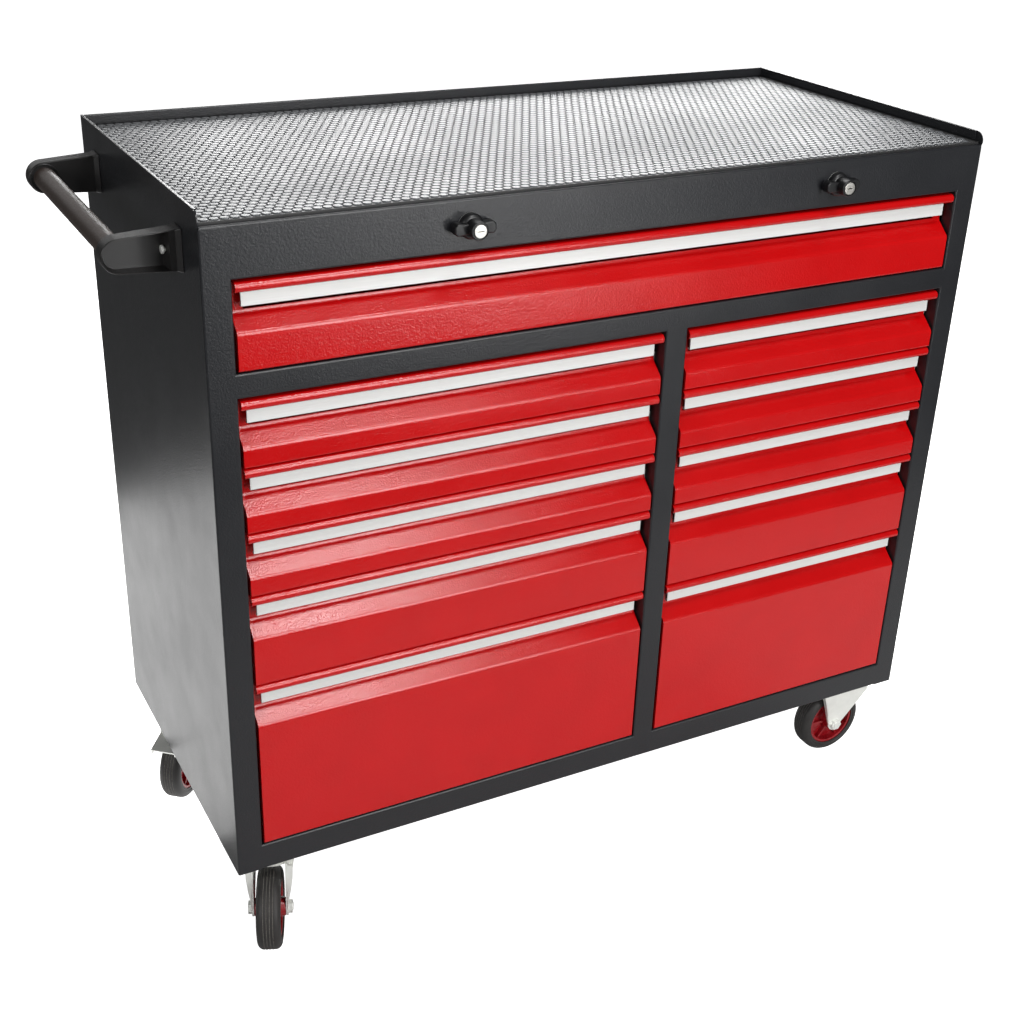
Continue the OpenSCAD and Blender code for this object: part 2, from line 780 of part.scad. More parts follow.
// Hook that rises in front of a drawer's catch
module hook(z) {
    bottom = z - catch_h - catch_gap - hook_h;
    block([-lock_bar_w / 2, hook_y, bottom], [lock_bar_w, lock_bar_t, hook_h]);
    block([-lock_bar_w / 2, hook_y, bottom], [lock_bar_w, catch_l + eps, lock_bar_t]);
}

// Casters

CASTERS = [
    [left_caster_x, front_caster_y], [left_caster_x, rear_caster_y],
    [right_caster_x, front_caster_y], [right_caster_x, rear_caster_y]
];

// Every bolt hole of the four plates, at the underside of the base pan
module at_plate_bolts() {
    for (c = CASTERS)
        for (u = [-bolt_span_l / 2, bolt_span_l / 2])
            for (v = [-bolt_span_w / 2, bolt_span_w / 2])
                translate([c[0] + u, c[1] + v, carcass_z]) children();
}

module plate() {
    difference() {
        block([-plate_l / 2, -plate_w / 2, plate_z], [plate_l, plate_w, plate_t]);
        for (u = [-bolt_span_l / 2, bolt_span_l / 2])
            for (v = [-bolt_span_w / 2, bolt_span_w / 2])
                translate([u, v, plate_z - eps])
                    cylinder(d = bolt_d + 2 * bolt_clear, h = plate_t + 2 * eps);
    }
}

module caster_top_plates() {
    color(ZINC) in_frame()
        for (c = [CASTERS[0], CASTERS[1]]) translate([c[0], c[1], 0]) {
            plate();
            translate([0, 0, plate_z - race_h]) cylinder(d = race_d, h = race_h + eps);
            translate([0, 0, crown_z - fork_t - race_gap]) cylinder(d = kingpin_d, h = 2 * race_h);
            translate([0, 0, crown_z - fork_t - race_gap - bolt_head_h])
                cylinder(d = kingpin_head_d, h = bolt_head_h);
        }
}

module caster_bolts() {
    color(ZINC) in_frame() at_plate_bolts() {
        translate([0, 0, -plate_t]) cylinder(d = bolt_d, h = plate_t + sheet_t + eps);
        translate([0, 0, sheet_t]) cylinder(d = nut_d, h = bolt_head_h, $fn = 6);
        translate([0, 0, -plate_t - nut_h]) cylinder(d = nut_d, h = nut_h, $fn = 6);
    }
}

// One side of a fork, drawn as (trail, height), from its top and its straight skirt to the axle at trail u
module leg_outline(u, top_z, half, skirt) {
    difference() {
        union() {
            translate([u, wheel_r]) circle(r = axle_end_r);
            polygon([[-half, top_z - skirt], [-half, top_z], [half, top_z], [u + axle_end_r, wheel_r],
                     [u - axle_end_r, wheel_r]]);
            children();
        }
        translate([u, wheel_r]) circle(r = axle_r + bolt_clear);
    }
}

// Axle bolt with its head and nut
module axle(u) {
    rod_y(u, -fork_out, wheel_r, axle_r, 2 * fork_out + nut_h);
    translate([u, -fork_out, wheel_r]) rotate([90, 0, 0])
        cylinder(d = axle_head_d, h = bolt_head_h, $fn = 6);
    translate([u, fork_out, wheel_r]) rotate([-90, 0, 0])
        cylinder(d = axle_head_d, h = axle_nut_h, $fn = 6);
}

// Both sides of a fork around the wheel
module legs(u, top_z, half, skirt) {
    for (y = [fork_in, -fork_out])
        along_y(y, fork_t) leg_outline(u, top_z, half, skirt) children();
}

// Places a caster's fork and wheel, drawn with the trail along +X
module at_caster(caster, turn) {
    in_frame() translate([caster[0], caster[1], 0]) rotate([0, 0, turn]) children();
}

module swivel_fork(braked) {
    difference() {
        translate([0, 0, crown_z - fork_t]) {
            cylinder(r = crown_r, h = fork_t);
            cylinder(d = race_d, h = fork_t + race_h - race_gap);
        }
        translate([0, 0, crown_z - fork_t - eps])
            cylinder(r = kingpin_d / 2 + running_play, h = fork_t + race_h);
    }
    legs(trail, crown_z, leg_top, leg_skirt) if (braked) pedal_ear();
    axle(trail);
    if (braked) rod_y(pedal_u, -fork_out, pedal_z, pedal_pin_d / 2, 2 * fork_out);
}

// Ear of a braked fork around the pedal's pin
module pedal_ear() {
    translate([pedal_u, pedal_z]) circle(r = pedal_ear_r);
    polygon([[0, crown_z], [pedal_u, pedal_z + pedal_ear_r], [pedal_u + pedal_ear_r, pedal_z],
             [trail, wheel_r]]);
}

module swivel_fork_front_left() {
    color(ZINC) at_caster(CASTERS[0], front_turn) swivel_fork(false);
}

module swivel_fork_rear_left() {
    color(ZINC) at_caster(CASTERS[1], rear_turn) swivel_fork(true);
}

module brake_pedal() {
    color(ZINC) at_caster(CASTERS[1], rear_turn) translate([pedal_u, 0, pedal_z]) difference() {
        rotate([0, pedal_slope, 0]) {
            rod_y(0, -pedal_w / 2, 0, pedal_barrel_r, pedal_w);
            block([0, -pedal_w / 2, pedal_barrel_r - pedal_t], [pedal_l, pedal_w, pedal_t]);
            for (y = [-pedal_w / 2, pedal_w / 2 - pedal_t])
                block([pedal_l / 2, y, pedal_barrel_r - pedal_skirt], [pedal_l / 2, pedal_t, pedal_skirt]);
            block([shoe_u - shoe_l / 2, -shoe_w / 2, -shoe_drop], [shoe_l, shoe_w, shoe_drop + pedal_barrel_r - eps]);
        }
        rod_y(0, -pedal_w, 0, pedal_pin_d / 2 + running_play, 2 * pedal_w);
    }
}

module fixed_caster_forks() {
    color(ZINC)
        for (c = [CASTERS[2], CASTERS[3]]) at_caster(c, fixed_turn) {
            plate();
            legs(fixed_trail, plate_z + eps, fixed_leg_top, fixed_leg_skirt);
            axle(fixed_trail);
        }
}

// Section of the tyre, drawn as (radius, width)
module tyre_section() {
    half = tread_w / 2;
    difference() {
        union() {
            translate([rim_r, -half]) square([wheel_r - shoulder_r - rim_r, tread_w]);
            translate([rim_r, -half + shoulder_r])
                square([wheel_r - rim_r, tread_w - 2 * shoulder_r]);
            for (v = [-half + shoulder_r, half - shoulder_r])
                translate([wheel_r - shoulder_r, v]) circle(r = shoulder_r);
        }
        for (v = [-tread_w / 5, 0, tread_w / 5])
            translate([wheel_r - groove_depth, v - groove_w / 2]) square([groove_depth + eps, groove_w]);
    }
}

// Section of the rim, drawn as (radius, width)
module rim_section() {
    bore_r = axle_r + running_play;
    translate([rim_r - rim_wall, -rim_w / 2]) square([rim_wall, rim_w]);
    translate([bore_r, -web_t / 2]) square([rim_r - bore_r - eps, web_t]);
    translate([bore_r, -hub_l / 2]) square([hub_d / 2 - bore_r, hub_l]);
}

// Wheel about its own axle, which lies along Y
module wheel() {
    rotate([90, 0, 0]) {
        color(RUBBER) rotate_extrude() tyre_section();
        color(RIM) {
            rotate_extrude() rim_section();
            for (i = [0:rib_count - 1])
                rotate([0, 0, i * 360 / rib_count])
                    block([hub_d / 2 - rib_bite, -rib_t / 2, -rim_w / 2 + rib_inset],
                          [rim_r - rim_wall - hub_d / 2 + 2 * rib_bite, rib_t, rim_w - 2 * rib_inset]);
        }
    }
}

module swivel_wheel(caster, turn) {
    at_caster(caster, turn) translate([trail, 0, wheel_r]) wheel();
}

module fixed_wheel(caster) {
    at_caster(caster, fixed_turn) translate([fixed_trail, 0, wheel_r]) wheel();
}

left_side_panel();
right_side_panel();
back_panel();
base_pan();
worktop_deck();
mid_rail();
centre_divider();
slide_posts();
slide_outer_rails();
worktop_mat();
handle_brackets();
handle_bar();
handle_screws();
lock_knob(left_lock_x);  // lock_knob_left
lock_knob(right_lock_x);  // lock_knob_right
lock_bar(left_lock_x);  // lock_bar_left
lock_bar(right_lock_x);  // lock_bar_right
caster_top_plates();
fixed_caster_forks();
caster_bolts();
swivel_fork_front_left();
swivel_fork_rear_left();
brake_pedal();
swivel_wheel(CASTERS[0], front_turn);  // wheel_front_left
swivel_wheel(CASTERS[1], rear_turn);  // wheel_rear_left
fixed_wheel(CASTERS[2]);  // wheel_front_right
fixed_wheel(CASTERS[3]);  // wheel_rear_right
for (d = DRAWERS) {
    drawer(d);
    pull(d);
    slides(d);
}
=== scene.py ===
"""Dresses a drawer tool cabinet on casters: folded sheet, drawers, mat, handle, locks, casters and stage."""

import json
import math

import bmesh
import bpy
from bpy.props import FloatProperty, FloatVectorProperty, IntProperty, PointerProperty
from mathutils import Matrix, Vector


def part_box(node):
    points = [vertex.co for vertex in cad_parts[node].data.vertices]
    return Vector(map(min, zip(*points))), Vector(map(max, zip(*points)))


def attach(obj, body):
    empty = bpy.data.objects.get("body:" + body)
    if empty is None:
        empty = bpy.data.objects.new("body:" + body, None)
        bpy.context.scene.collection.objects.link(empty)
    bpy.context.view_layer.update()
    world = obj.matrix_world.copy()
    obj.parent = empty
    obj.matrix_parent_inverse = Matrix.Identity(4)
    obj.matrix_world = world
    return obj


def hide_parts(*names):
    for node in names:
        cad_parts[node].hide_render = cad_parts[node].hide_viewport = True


bl_info = {
    "name": "Drawer tool cabinet",
    "version": (1, 0, 0),
    "blender": (4, 5, 0),
    "location": "3D View > Sidebar > Tool cabinet",
    "description": "Builds the finishes and the detailed pieces of a drawer tool cabinet around its solids",
    "category": "Add Mesh",
}

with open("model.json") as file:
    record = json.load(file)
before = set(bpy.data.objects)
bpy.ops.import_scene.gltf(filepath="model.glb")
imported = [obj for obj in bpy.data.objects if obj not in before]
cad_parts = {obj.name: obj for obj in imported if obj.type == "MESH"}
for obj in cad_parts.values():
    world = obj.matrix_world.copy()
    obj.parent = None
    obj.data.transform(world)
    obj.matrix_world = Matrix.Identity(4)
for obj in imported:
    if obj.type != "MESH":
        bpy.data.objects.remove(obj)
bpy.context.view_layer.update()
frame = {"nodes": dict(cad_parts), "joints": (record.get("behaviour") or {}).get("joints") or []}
MM = 0.001
LEFTWARDS, RIGHTWARDS = Vector((-1, 0, 0)), Vector((1, 0, 0))
FORWARDS, BACKWARDS = Vector((0, -1, 0)), Vector((0, 1, 0))
UPWARDS, DOWNWARDS = Vector((0, 0, 1)), Vector((0, 0, -1))

# Shaping: points nearer than this are one, hems, fine edges, and the angle where smooth shading stops
MERGE_DIST = 0.001 * MM
HEM_ROUNDING = 0.48
FINE_EDGE_R = 0.3 * MM
SMOOTH_ANGLE = math.radians(38)

# Finishes: a pattern that isn't stretched, and the range where most of a noise lies
EVEN = (1, 1, 1)
NOISE_MIDDLE = (0.3, 0.7)

# Places of the carcass, read from its solids
LEFT_LOW, LEFT_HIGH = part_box("left_side_panel")
RIGHT_LOW, RIGHT_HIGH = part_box("right_side_panel")
BACK_LOW, BACK_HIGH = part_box("back_panel")
DECK_LOW, DECK_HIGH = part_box("worktop_deck")
RAIL_LOW, RAIL_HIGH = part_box("mid_rail")
DIVIDER_LOW, DIVIDER_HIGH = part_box("centre_divider")
LEFT_X, RIGHT_X = LEFT_LOW.x, RIGHT_HIGH.x
MIDDLE_X = (LEFT_X + RIGHT_X) / 2
LEFT_STILE_X, RIGHT_STILE_X = RAIL_LOW.x, RAIL_HIGH.x
FRONT_Y, BACK_Y = LEFT_LOW.y, LEFT_HIGH.y
BASE_Z, LIP_Z = LEFT_LOW.z, LEFT_HIGH.z
FASCIA_Z, DECK_Z = DECK_LOW.z, DECK_HIGH.z
SHEET_T = BACK_LOW.x - LEFT_X
RETURN_L = RAIL_HIGH.y - RAIL_LOW.y
BOTTOM_RAIL_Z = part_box("base_pan")[1].z
INNER_BACK_Y = BACK_Y - SHEET_T

DRAWERS = [node[len("drawer_"):] for node in frame["nodes"] if node.startswith("drawer_")]
LOCK_SIDES = ("left", "right")
JOINTS = {joint["child"]: joint for joint in frame["joints"]}


def linear(hex_colour):
    """Linear RGBA of an sRGB hex colour."""
    parts = [int(hex_colour[i:i + 2], 16) / 255 for i in (1, 3, 5)]
    return [p / 12.92 if p <= 0.04045 else ((p + 0.055) / 1.055) ** 2.4 for p in parts] + [1.0]


def length(name, description, millimetres):
    """A length that the user may change, with its default in millimetres."""
    return FloatProperty(name=name, description=description, default=millimetres * MM, min=0.0, precision=4,
                         unit="LENGTH")


def colour(name, description, hex_colour):
    """A colour that the user may change, with its default as an sRGB hex value."""
    return FloatVectorProperty(name=name, description=description, default=linear(hex_colour), size=4,
                               min=0.0, max=1.0, subtype="COLOR")


def angle(name, description, degrees):
    """An angle that the user may change, with its default in degrees."""
    return FloatProperty(name=name, description=description, default=math.radians(degrees), subtype="ANGLE")


def share(name, description, default):
    """A share from 0 to 1 that the user may change."""
    return FloatProperty(name=name, description=description, default=default, min=0.0, max=1.0,
                         subtype="FACTOR")


class CarcassSizes(bpy.types.PropertyGroup):
    """Sizes of the folded carcass."""

    fold_r: length("Fold radius", "Outer radius of a fold in the carcass sheet", 2.2)
    hem_w: length("Hem width", "Width of the hem along the top lip", 3.2)
    hem_h: length("Hem depth", "How far the hem comes down inside the lip", 10)
    lip_corner_r: length("Lip corner", "Radius of the side lips' front corners", 12)
    corner_tab: length("Corner tab", "How far the deck folds down over each stile", 3.4)
    strap_w: length("Strap width", "Inner width of a strap that guides a lock bar", 18.6)
    strap_d: length("Strap depth", "How far a strap stands in front of the back panel", 10.8)
    strap_h: length("Strap height", "Height of a strap", 14)
    strap_drop: length("Upper strap", "Drop of the upper straps below the fascia", 28)


class DrawerSizes(bpy.types.PropertyGroup):
    """Sizes of the folded drawers."""

    sheet_t: length("Sheet", "Thickness of the drawer sheet", 1.2)
    fold_r: length("Fold radius", "Outer radius of a fold in a drawer front", 2.8)
    bend_drop: length("Bend drop", "From the top of a front down to its bend line", 53)
    slope_rise: length("Slope rise", "Height of the slope under the finger recess", 16.5)
    nose_r: length("Nose radius", "Outer radius of the rolled nose along the top", 5.5)
    nose_proud: length("Nose proud", "How far the nose stands in front of the front", 1)
    tray_inset: length("Tray inset", "From the end of a front in to the side of its tray", 9.7)
    tray_lift: length("Tray lift", "From the bottom of a front up to its tray", 5)
    tray_drop: length("Tray drop", "From the top of a front down to the rim of its tray", 14)
    rim_w: length("Rim width", "Width of the hem round a tray's rim", 3.2)
    rim_h: length("Rim depth", "How far the hem comes down inside a tray", 8)
    catch_w: length("Catch width", "Width of the tab that a lock bar holds", 18)
    catch_t: length("Catch thickness", "Thickness of the tab", 3)
    catch_h: length("Catch height", "Height of the tab's hook", 8)


class PullSizes(bpy.types.PropertyGroup):
    """Sizes of the pull strips."""

    wall: length("Wall", "Thickness of the extruded strip", 1.8)
    lip: length("Lip", "Depth of the strip's lower lip", 5)
    edge_r: length("Edge radius", "Radius of the strip's corners", 1.1)


class MatSizes(bpy.types.PropertyGroup):
    """Sizes of the studded mat."""

    pitch: length("Pitch", "Distance between studs along a row", 10.66)
    row: length("Row", "Distance between two rows of studs", 9.84)
    stud_d: length("Stud", "Width of a stud at its foot", 10.4)
    stud_h: length("Stud height", "Height of a stud", 1.1)
    stud_edge: length("Stud edge", "Width of the slope round a stud's top", 0.5)
    margin: length("Margin", "Bare edge of the mat around the studs", 2.5)
    edge_r: length("Edge radius", "Radius of the mat's edges", 0.8)


class HandleSizes(bpy.types.PropertyGroup):
    """Sizes of the push handle."""

    arm_t: length("Arm thickness", "Thickness of a bracket's arm", 20)
    end_r: length("End radius", "Radius of the arm's rounded end", 18)
    root_h: length("Root height", "Height of the arm at the panel", 44)
    rim: length("Rim", "Width of the rim around the arm's pocket", 3.4)
    pocket_root: length("Pocket root", "From the panel to the pocket", 16)
    pocket_end: length("Pocket depth", "Depth of the pocket at the arm's end", 7)
    pocket_deep: length("Pocket root depth", "Depth of the pocket beside the screw", 14)
    foot_t: length("Foot", "Thickness of the bracket's foot", 5)
    foot_l: length("Foot length", "Length of the foot along the panel", 26)
    foot_h: length("Foot height", "Height of the foot", 46)
    edge_r: length("Edge radius", "Radius of the moulded edges", 1.3)
    collar: length("Collar", "How far the collar stands out around the bar", 2)
    collar_wall: length("Collar wall", "Width of the collar's ring", 2.6)


class LockSizes(bpy.types.PropertyGroup):
    """Sizes of the lock knobs."""

    base_d: length("Base", "Diameter of the knob's round base", 28)
    base_h: length("Base height", "Height of the round base", 9)
    barrel_d: length("Barrel", "Diameter of the knob's barrel", 20)
    reach: length("Reach", "How far the barrel stands out of the fascia", 25)
    wing_w: length("Wings", "Width over both wings", 48)
    wing_h: length("Wing ends", "Height of a wing at its end", 13.4)
    wing_waist: length("Wing waist", "Height of a wing beside the barrel", 10.5)
    wing_back: length("Wing back", "From the fascia to the back of the wings", 3)
    wing_reach: length("Wing front", "From the fascia to the front of the wings", 15)
    edge_r: length("Edge radius", "Radius of the moulded edges", 1.6)
    key_d: length("Key cylinder", "Diameter of the key cylinder", 14.4)
    key_proud: length("Key proud", "How far the key cylinder stands out of the barrel", 0.8)
    key_depth: length("Key depth", "Length of the key cylinder in the barrel", 18)
    slot_l: length("Key slot", "Length of the key slot", 8.6)
    slot_w: length("Key slot width", "Width of the key slot", 1.4)
    slot_d: length("Key slot depth", "Depth of the key slot", 4)


class CasterSizes(bpy.types.PropertyGroup):
    """Sizes of the wheels and the rounding of the pressed steel."""

    tread_w: length("Tread", "Width of the tyre", 30)
    tyre_h: length("Tyre", "Height of the tyre above its rim", 13.5)
    shoulder_r: length("Shoulder", "Radius of the tyre's shoulders", 8.5)
    groove_w: length("Groove", "Width of a tread groove", 1.6)
    groove_d: length("Groove depth", "Depth of a tread groove", 1.2)
    groove_pitch: length("Groove pitch", "Distance between two tread grooves", 3.9)
    # The pale rings in the grooves are dust and painted highlight
    dust_and_highlight_h: length("Dust", "Depth of the dust that lies in a tread groove", 0.8)
    rim_w: length("Rim width", "Width of the rim's flange", 26)
    rim_wall: length("Rim wall", "Thickness of the rim's flange", 4)
    hub_d: length("Hub", "Diameter of the hub", 28)
    hub_l: length("Hub length", "Length of the hub", 38)
    bore_d: length("Bore", "Diameter of the hub's bore", 10.1)
    web_hub_t: length("Web at hub", "Thickness of the web beside the hub", 10)
    web_rim_t: length("Web at rim", "Thickness of the web beside the flange", 6)
    rib_t: length("Rib", "Thickness of a rib", 3)
    ribs: IntProperty(name="Ribs", description="Number of ribs on each side of the web", default=6, min=3)
    rim_edge_r: length("Rim edge", "Radius of the moulded edges of the rim", 0.9)
    steel_edge_r: length("Steel edge", "Radius of the pressed steel's edges", 0.6)
    leg_half: length("Swivel leg", "Half the width of a swivel fork's leg at its top", 34)
    fixed_leg_half: length("Fixed leg", "Half the width of a fixed fork's leg at its top", 45)
    crown_drop: length("Crown", "From the top of a swivel fork down to its flanges", 8)
    leg_skirt: length("Swivel skirt", "Height of the straight edge beside a swivel fork's flanges", 5)
    fixed_drop: length("Fixed top", "From the top of a fixed fork down to its flanges", 11)
    fork_out: length("Fork", "From the middle of a wheel to the outer face of its fork", 22)
    axle_end_r: length("Axle end", "Radius of a leg's end around the axle", 11)
    flange_w: length("Flange", "Width of the flange pressed out of a leg's edge, at its top", 7.5)
    flange_t: length("Flange thickness", "Thickness of the flange", 2.4)


class Finishes(bpy.types.PropertyGroup):
    """Colours of the finishes."""

    black_coat: colour("Black coat", "Powder coat of the carcass", "#1f2023")
    red_coat: colour("Red coat", "Powder coat of the drawers", "#be0609")
    aluminium: colour("Aluminium", "Anodised pull strips", "#e4e5e3")
    zinc: colour("Zinc", "Bright zinc on slides and casters", "#f2f3ee")
    # The mat's ground is painted nearly black as shade between the studs
    mat_ground_painted_shade: colour("Mat ground", "Mat between its studs", "#121213")
    # The mat's studs are painted a lighter grey as light on their tops
    mat_studs_painted_light: colour("Mat studs", "Studs of the worktop mat", "#4b4d50")
    moulding: colour("Moulding", "Handle brackets", "#1c1b1b")
    bar_sleeve: colour("Bar sleeve", "Grained sleeve of the handle's bar", "#3a302b")
    knob: colour("Knob", "Lock knobs", "#101012")
    nickel: colour("Nickel", "Key cylinders", "#d8d6d0")
    tyre: colour("Tyre", "Rubber of the tyres", "#262423")
    # Pale rings in the tyres' grooves: dust, and painted highlight along the groove edges
    groove_dust_and_highlight: colour("Groove dust", "Dust in the tyres' grooves", "#64615c")
    rim: colour("Rim", "Moulded rims", "#8c0f18")
    floor: colour("Floor", "Studio floor", "#f4f4f3")
    front_paper: colour("Front paper", "Paper in front of the cabinet", "#cacac9")
    rear_paper: colour("Rear paper", "Paper behind and beside the cabinet", "#f0f0ef")


class StageSettings(bpy.types.PropertyGroup):
    """Camera, lights and floor."""

    place: FloatVectorProperty(name="Camera place", description="Where the camera stands", size=3,
                               default=(LEFT_X - 0.39109, FRONT_Y - 1.35517, BASE_Z + 1.19082),
                               precision=4, subtype="TRANSLATION", unit="LENGTH")
    azimuth: angle("Azimuth", "Turn of the camera about the vertical", -28.65)
    elevation: angle("Elevation", "How far the camera looks down", 26.64)
    roll: angle("Roll", "Turn of the camera about its own line of sight", 1.99)
    lens: FloatProperty(name="Lens", description="Focal length on a 36 mm sensor", default=52.38, min=1.0,
                        unit="CAMERA")
    floor_w: length("Floor", "Width of the studio floor", 40000)
    sky: share("Sky", "Brightness of the dim studio", 0.08)
    floor_glow: share("Floor glow", "Light that the floor gives by itself", 1.0)
    paper_glow: share("Paper glow", "Light that the rear paper gives by itself", 1.0)
    paper_w: length("Paper", "How far the paper reaches around the cabinet", 850)


# Finishes

def add(tree, kind, settings=(), inputs=()):
    """Adds one node with its settings, and with its inputs set to values or linked to outputs."""
    node = tree.nodes.new(kind)
    for key, value in dict(settings).items():
        setattr(node, key, value)
    for key, value in dict(inputs).items():
        if isinstance(value, bpy.types.NodeSocket):
            tree.links.new(value, node.inputs[key])
        else:
            node.inputs[key].default_value = value
    return node


def patterned(name, base, tones, gloss, clouds, grain, relief, drift=(0.0, 1.0), sockets=()):
    """A finish whose tone and gloss drift with clouds, and whose relief is a grain.

    Clouds and grain are a size, a detail and a stretch along the axes. Tones and gloss go from where the
    clouds are low to where they are high, and the tone changes over the drift, a range of the clouds. The
    relief is a depth and a strength, and the sockets are other values of the shader.
    """
    material = bpy.data.materials.new(name)
    material.use_nodes = True
    tree = material.node_tree
    shader = tree.nodes["Principled BSDF"]
    place = add(tree, "ShaderNodeTexCoord").outputs["Object"]
    noises = []
    for size, detail, stretch in (clouds, grain):
        scale = [1 / (size * along) for along in stretch]
        spot = add(tree, "ShaderNodeMapping", {}, {"Vector": place, "Scale": scale}).outputs[0]
        noises.append(add(tree, "ShaderNodeTexNoise", {}, {"Vector": spot, "Scale": 1.0, "Detail": detail}))
    cloud, height = [made.outputs[0] for made in noises]
    turn = add(tree, "ShaderNodeMapRange", {}, {"Value": cloud, "From Min": drift[0], "From Max": drift[1]})
    first, second = [[min(1.0, part * tone) for part in base[:3]] + [1.0] for tone in tones]
    tone = add(tree, "ShaderNodeMix", {"data_type": "RGBA"}, {0: turn.outputs[0], 6: first, 7: second})
    rough = add(tree, "ShaderNodeMapRange", {}, {
        "Value": cloud, "From Min": NOISE_MIDDLE[0], "From Max": NOISE_MIDDLE[1],
        "To Min": gloss[0], "To Max": gloss[1]})
    bump = add(tree, "ShaderNodeBump", {}, {"Height": height, "Distance": relief[0], "Strength": relief[1]})
    tree.links.new(tone.outputs[2], shader.inputs["Base Color"])
    tree.links.new(rough.outputs[0], shader.inputs["Roughness"])
    tree.links.new(bump.outputs["Normal"], shader.inputs["Normal"])
    for socket, value in dict(sockets).items():
        shader.inputs[socket].default_value = value
    return material


def powder_coat(name, base, gloss, strength):
    """Baked powder on steel sheet, with an orange peel."""
    # Orange peel is about 1 mm from crest to crest, and is drawn at 2 mm so that it shows
    return patterned(name, base, (0.96, 1.04), gloss, (70 * MM, 3, EVEN), (2 * MM, 2, EVEN),
                     (0.4 * MM, strength), NOISE_MIDDLE)


def black_powder_coat(name, colours):
    # Matt-satin epoxy powder on steel: near black, it greys where it mirrors the bright floor
    return powder_coat(name, colours.black_coat, (0.30, 0.36), 0.6)


def red_powder_coat(name, colours):
    # Gloss polyester powder on steel: deep red, with pale streaks of light along its folds
    return powder_coat(name, colours.red_coat, (0.15, 0.20), 0.7)


def anodised_aluminium(name, colours):
    # Extruded, etched and anodised: die lines along its length, and a milky skin, nearly white from all sides
    lines = (0.9 * MM, 2, (90, 1, 1))
    return patterned(name, colours.aluminium, (0.9, 1.05), (0.42, 0.52), lines, lines, (0.1 * MM, 0.08),
                     sockets={"Metallic": 0.25})


def bright_zinc(name, colours):
    # Electroplated pressed steel: cool and bright, clouded by handling, with fine draw marks
    # The clear film over the zinc scatters light, so that it stays pale where it mirrors the dark
    return patterned(name, colours.zinc, (0.86, 1.08), (0.32, 0.46), (14 * MM, 4, EVEN),
                     (1.5 * MM, 2, (1, 1, 12)), (0.1 * MM, 0.12), sockets={"Metallic": 0.45})


def mat_rubber(name, base, gloss):
    """Moulded rubber with a fine skin, clouded by dust."""
    return patterned(name, base, (0.88, 1.15), gloss, (160 * MM, 3, EVEN), (1.2 * MM, 3, EVEN),
                     (0.1 * MM, 0.2), NOISE_MIDDLE)


def dull_rubber_painted_shade(name, colours):
    # Rubber between the studs: dull, and painted nearly black as shade between the studs
    return mat_rubber(name, colours.mat_ground_painted_shade, (0.48, 0.58))


def silky_rubber_painted_light(name, colours):
    # Rubber on top of the studs: polished by use, so that every stud catches the light, and painted a lighter
    # grey than the ground as light on the stud tops
    return mat_rubber(name, colours.mat_studs_painted_light, (0.40, 0.48))


def moulded_polyamide(name, colours):
    # Glass-filled polyamide from a spark-eroded mould: black, with an even fine grain
    grain = (1.6 * MM, 2, EVEN)
    return patterned(name, colours.moulding, (0.85, 1.2), (0.34, 0.46), grain, grain, (0.15 * MM, 0.2))


def grained_sleeve(name, colours):
    # Soft vinyl sleeve over a tube: brownish black, with a leather-like grain and a broad dull highlight
    grain = (2.4 * MM, 3, EVEN)
    return patterned(name, colours.bar_sleeve, (0.8, 1.25), (0.40, 0.55), grain, grain, (0.4 * MM, 0.35))


def polished_acetal(name, colours):
    # Acetal from a polished mould, dulled by hands: black, with a trace of flow
    flow = (6 * MM, 3, EVEN)
    return patterned(name, colours.knob, (0.8, 1.4), (0.34, 0.44), flow, flow, (0.1 * MM, 0.1))


def turned_nickel(name, colours):
    # Nickel-plated brass, turned: bright, with faint tool marks
    marks = (0.6 * MM, 2, EVEN)
    return patterned(name, colours.nickel, (0.9, 1.05), (0.34, 0.44), marks, marks, (0.05 * MM, 0.1),
                     sockets={"Metallic": 1.0})


def tyre_rubber(name, colours):
    # Black elastic rubber: dull, greyed by dust that lies in a fine moulded grain
    return patterned(name, colours.tyre, (0.8, 1.35), (0.48, 0.62), (25 * MM, 3, EVEN), (1.5 * MM, 3, EVEN),
                     (0.15 * MM, 0.25), NOISE_MIDDLE)


def workshop_dust_and_highlight(name, colours):
    # Fine dust trodden into rubber: pale, dull and uneven, and its pale rings also stand as painted highlight
    # along the groove edges
    grit = (1.5 * MM, 3, EVEN)
    return patterned(name, colours.groove_dust_and_highlight, (0.45, 1.3), (0.8, 0.95), grit, grit, (0.2 * MM, 0.4),
                     NOISE_MIDDLE)


def moulded_polypropylene(name, colours):
    # Injection-moulded polypropylene: wine red and shiny, so that edges show as pink lines
    flow = (9 * MM, 3, EVEN)
    return patterned(name, colours.rim, (0.85, 1.2), (0.24, 0.34), flow, flow, (0.1 * MM, 0.1))


def stage_white(name, base, glow):
    """A dull pale stage surface that gives some light by itself."""
    cloud = (300 * MM, 2, EVEN)
    return patterned(name, base, (0.99, 1.01), (0.6, 0.7), cloud, cloud, (0.1 * MM, 0.02),
                     sockets={"Emission Color": (1, 1, 1, 1), "Emission Strength": glow})


def studio_floor(name, colours):
    # Painted studio floor: white and dull
    return stage_white(name, colours.floor, bpy.context.scene.cabinet_stage.floor_glow)


def grey_paper(name, colours):
    # Matt photographic paper: pale grey, it shows as a veil on the lower fronts
    return stage_white(name, colours.front_paper, 0.0)


def white_paper(name, colours):
    # Matt photographic paper in full light: white, it greys the lower part of the dark side
    return stage_white(name, colours.rear_paper, bpy.context.scene.cabinet_stage.paper_glow)


